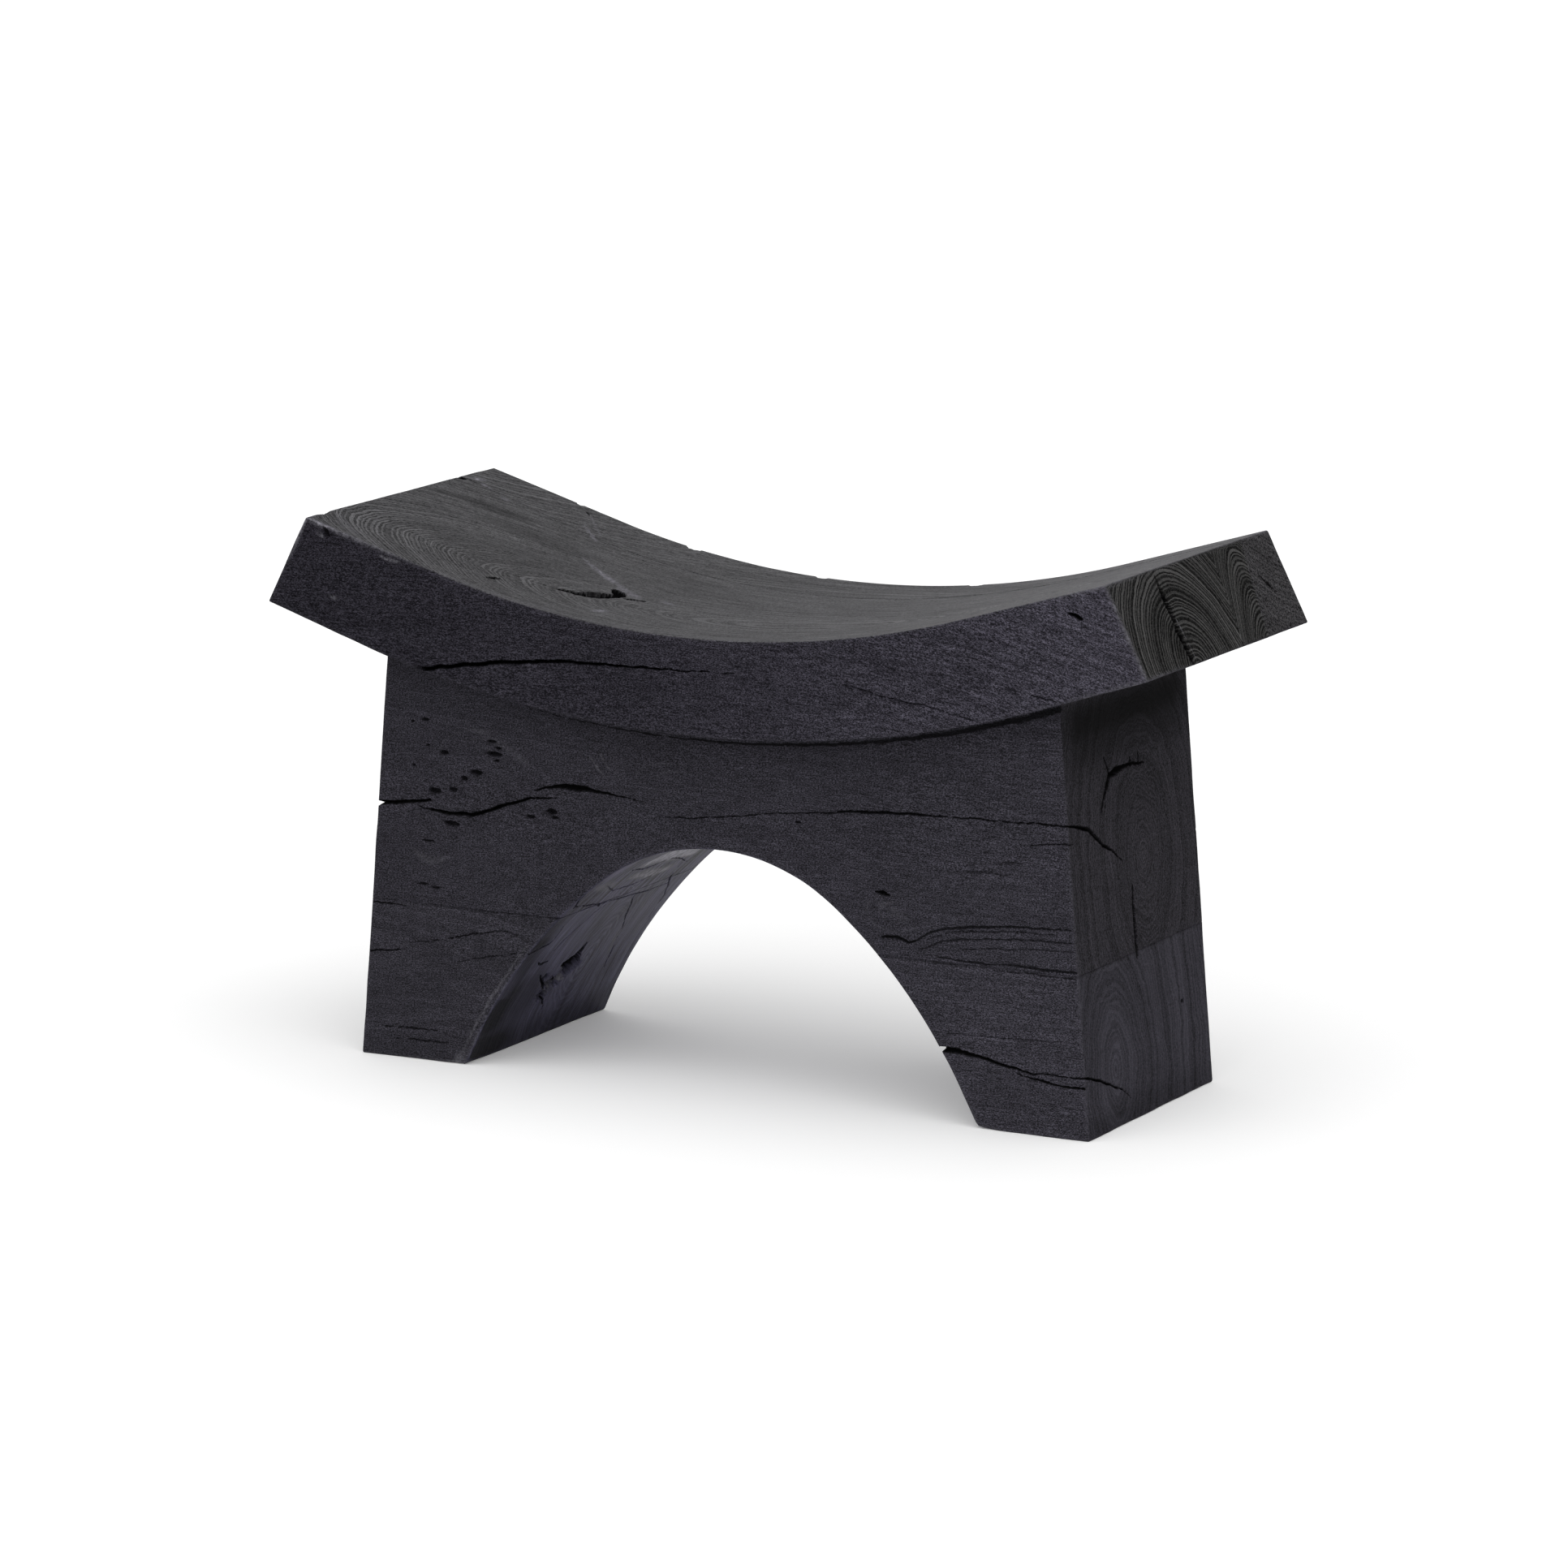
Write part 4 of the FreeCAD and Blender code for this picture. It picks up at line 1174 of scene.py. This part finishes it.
def timberMaterial(name, look):
    material, sheet, shader = newMaterial(name)
    shift = look["shift"]
    place = sheet.node("ShaderNodeTexCoord", out="Object").scaled(1 / mm)
    endGrain, rubbed, hole, pale = (sheet.node("ShaderNodeAttribute", {"attribute_name": key}, out="Fac")
                                    for key in ("endGrain", "rubbed", "hole", "pale"))
    flat = 1 - endGrain.atLeast(rubbed)

    # Ring lines: a wave of the age with a wandering phase, roughened, that stands out more in some bands.
    age = woodAge(sheet, place, look, endGrain)
    ringSize = endGrain * (look["endRing"] - look["ringSize"]) + look["ringSize"]
    bands = age.stripes(ringSize * rings["bandRings"], 1.0)
    wave = sheet.maths("SINE", age / ringSize * math.pi + bands * rings["bandPhase"])
    fine = wave * rings["wave"] + age.stripes(ringSize * rings["noiseRings"], 1.0)
    broadBands = age.stripes(look["bandSize"], 2.0).between(*rings["broadBand"]) - 0.5
    standing = bands.between(*rings["band"]) * rings["bandShare"] + rings["bandLeast"]
    lines = fine.between(*rings["line"]) * standing
    ringTone = lines - rings["lineMean"]
    pores, mottle = (textureAt(place, key, shift) - 0.5 for key in ("pores", "mottle"))
    patches = place.noise(finish["patchCells"], 3.0, 0.6, shift + 6)
    patches = patches * finish["patchReach"] + finish["patchLevel"]

    # Brushed front and rear. Along the seat the grain leaves the level and runs down towards the right end.
    x, y, z = place.parts()
    rightward = x.atLeast(0.0)
    grain = sheet.vector(x, y, z + rightward * rightward * look["dip"])
    combed = (rightward / finish["combRun"]).atMost(1.0) * look["combed"] + finish["combLeast"]
    brushed, brushedHeight = brushedTone(grain, lines, look["grit"], combed, shift)

    # Rubbed top and arch: streaks, smears, pale and dark wisps, and rings that stand out towards the left.
    along, coarse, slender = (tuple(share * cell for cell in look["rubbedCells"]) for share in (1, 5, 0.7))
    streaks = place.noise(along, 3.0, 0.65, shift + 8).between(0.3, 0.7) - 0.5
    smears = place.noise(coarse, 2.0, 0.6, shift + 9) - 0.5
    wisps = place.noise(slender, 3.0, 0.6, shift + 14)
    run = x / seat["lowerHalf"]
    leftward = (finish["leftFrom"] - run).atLeast(0.0) * finish["leftGrowth"] + finish["leftLeast"]
    rubbedTone = (streaks + smears) * look["rubbedContrast"] + ringTone * leftward * look["rubbedLines"]
    wisps = wisps.between(*finish["paleWisps"]) - wisps.between(*finish["darkWisps"])
    rubbedTone = rubbedTone + wisps * look["rubbedWisps"]
    rubbedTone = rubbedTone + (mottle + pores * finish["poresOnRubbed"]) * look["rubbedGrit"] + 1.0

    # End grain: rings and broad bands of them, with open pores.
    endTone = ringTone * look["endContrast"] + (mottle * finish["mottleOnEnds"] + pores) * look["endGrit"]
    endTone = endTone + 1.0 + broadBands * look["endBands"]

    # Tone of all three, with painted light that grows along the stool towards its right end and a painted
    # sheen likewise on the rubbed top, then the rubbed, worn and charred places.
    paintedLightAlong, paintedSheenAlong = (run * a + run * run * b + 1 for a, b in (look["paintedLight"], look["paintedSheen"]))
    tone = brushed * paintedLightAlong * flat + rubbedTone * paintedSheenAlong * rubbed + endTone * endGrain
    colour = sheet.vector(*look["brushedColour"]).mixed(look["rubbedColour"], rubbed)
    colour = colour.mixed(look["endColour"], endGrain)
    bare = pale.atLeast(0.0) * (mottle * finish["bareMottle"] + finish["bareLevel"])
    worn = colour.scaled((tone * patches).atLeast(finish["darkest"]))
    worn = worn.mixed(finish["paleColour"], bare.atMost(finish["bareMost"]))
    # darker: dark scuffs and painted shade from the marks; brighter: pale scratches and the painted sheen on
    # the intrados.
    darker = (pale.atMost(0.0) + 1).atLeast(finish["darkest"])
    brighter = (pale - finish["shineFrom"]).atLeast(0.0) * finish["shineGrowth"] + 1
    # Holes are mixed towards a charred colour that also stands for painted shade in the recesses.
    final = worn.scaled(darker * brighter).mixed(finish["charAndShadeColour"], hole.atMost(1.0))

    height = brushedHeight * flat + lines * finish["endHeight"] * endGrain
    height = height + (lines + streaks) * finish["rubbedHeight"] * rubbed + pores * finish["poreHeight"]
    bump = sheet.node("ShaderNodeBump", None, {"Strength": finish["bump"], "Distance": mm, "Height": height})
    rough = flat * finish["brushedRough"] + rubbed * look["rubbedRough"] + endGrain * finish["endRough"]
    rough = rough + hole * finish["holeRough"] + mottle * finish["mottleRough"]
    rough = (rough - lines * rubbed * finish["lineRough"]).atMost(1.0)
    plug(shader, {"Base Color": final, "Normal": bump, "Roughness": rough})
    shader.inputs["Specular IOR Level"].default_value = look["specular"]
    return material


for name, piece in timbers.items():
    piece.data.materials.append(timberMaterial(name + "Finish", timberLooks[name]))


# Dowels: pale beech-like wood whose fine streaks and flecks run along each dowel's longest side.
dowelFinish = {
    "light": (0.46, 0.30, 0.17), "dark": (0.27, 0.155, 0.08), "across": 0.6, "along": 7.0,
    "streaks": 0.6, "flecks": 0.4, "fleckSize": 0.3, "roughness": 0.62, "fleckRough": 0.15,
    "bump": 0.4, "height": 0.1,
}


def dowelMaterial(name, cells, shift):
    material, sheet, shader = newMaterial(name)
    place = sheet.node("ShaderNodeTexCoord", out="Object").scaled(1 / mm)
    streaks = place.noise(cells, 3.0, 0.6, shift).between(0.3, 0.7)
    small = tuple(dowelFinish["fleckSize"] * cell for cell in cells)
    flecks = place.noise(small, 1.0, 0.5, shift + 1).between(0.6, 0.7)
    dark = streaks * dowelFinish["streaks"] + flecks * dowelFinish["flecks"]
    colour = sheet.vector(*dowelFinish["light"]).mixed(dowelFinish["dark"], dark)
    bump = sheet.node("ShaderNodeBump", None, {"Strength": dowelFinish["bump"], "Distance": mm,
                                               "Height": streaks * dowelFinish["height"]})
    rough = flecks * dowelFinish["fleckRough"] + dowelFinish["roughness"]
    plug(shader, {"Base Color": colour, "Normal": bump, "Roughness": rough})
    return material


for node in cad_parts:
    if "_dowel_" in node:
        low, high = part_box(node)
        longest = max(range(3), key=lambda k: high[k] - low[k])
        cells = tuple(dowelFinish["along" if k == longest else "across"] for k in range(3))
        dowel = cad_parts[node]
        dowel.data.materials.clear()
        dowel.data.materials.append(dowelMaterial(node + "Finish", cells, float(len(bpy.data.materials))))
print("timbers and dowels finished")

# Floor and light: a white sweep, a little brighter to the camera than to the stool, and a sky of soft glows.
studio = {
    "floorReach": 40000.0,
    "floorSeen": 0.92, "floorGlow": 0.17, "floorBounce": 0.75,
    "sky": 0.03, "backdrop": 1.0,
    "glows": (  # where each comes from, how bright and how narrow it is
        ((0, -0.1, 1), 1.75, 4.0),
        ((0.1, -1, 0), 1.6, 2.0),
        ((-0.4, 1, 0), 0.75, 3.0),
        ((1, -0.2, 1.5), 1.1, 10.0),
    ),
}


def makeFloor(settings):
    reach = settings["floorReach"]
    corners = np.array([(-1, -1, 0), (1, -1, 0), (1, 1, 0), (-1, 1, 0)]) * reach
    floor = makeMesh("floor", corners, np.array([(0, 1, 2), (0, 2, 3)]))
    material, sheet, _ = newMaterial("paleFloor")
    sheet.tree.nodes.clear()
    seen = sheet.node("ShaderNodeBsdfDiffuse", None, {"Color": (*[settings["floorSeen"]] * 3, 1)})
    glow = sheet.node("ShaderNodeEmission", None, {"Color": (1, 1, 1, 1), "Strength": settings["floorGlow"]})
    bounce = sheet.node("ShaderNodeBsdfDiffuse", None, {"Color": (*[settings["floorBounce"]] * 3, 1)})
    bright = sheet.node("ShaderNodeAddShader", None, {0: seen, 1: glow})
    byCamera = sheet.node("ShaderNodeLightPath", out="Is Camera Ray")
    shown = sheet.node("ShaderNodeMixShader", None, {0: byCamera, 1: bounce, 2: bright})
    sheet.node("ShaderNodeOutputMaterial", None, {0: shown})
    floor.data.materials.append(material)


# Each glow is its brightness times a power of the cosine between its direction and the ray's.
def makeSky(settings):
    world = bpy.data.worlds.new("studioSky")
    world.use_nodes = True
    world.node_tree.nodes.clear()
    sky = Wire(world.node_tree)
    ray = sky.node("ShaderNodeTexCoord", out="Generated")
    light = settings["sky"]
    for way, brightness, narrowness in settings["glows"]:
        facing = sky.node("ShaderNodeVectorMath", {"operation": "DOT_PRODUCT"},
                          {0: ray, 1: tuple(Vector(way).normalized())}, "Value")
        light = sky.maths("POWER", sky.maths("MAXIMUM", facing, 0.0), narrowness) * brightness + light
    lit = sky.node("ShaderNodeBackground", None, {"Color": (1, 1, 1, 1), "Strength": light})
    seen = sky.node("ShaderNodeBackground", None, {"Color": (1, 1, 1, 1), "Strength": settings["backdrop"]})
    byCamera = sky.node("ShaderNodeLightPath", out="Is Camera Ray")
    shown = sky.node("ShaderNodeMixShader", None, {0: byCamera, 1: lit, 2: seen})
    sky.node("ShaderNodeOutputWorld", None, {0: shown})
    bpy.context.scene.world = world


makeFloor(studio)
makeSky(studio)
bpy.context.scene.view_settings.view_transform = "Standard"
print("studio made")
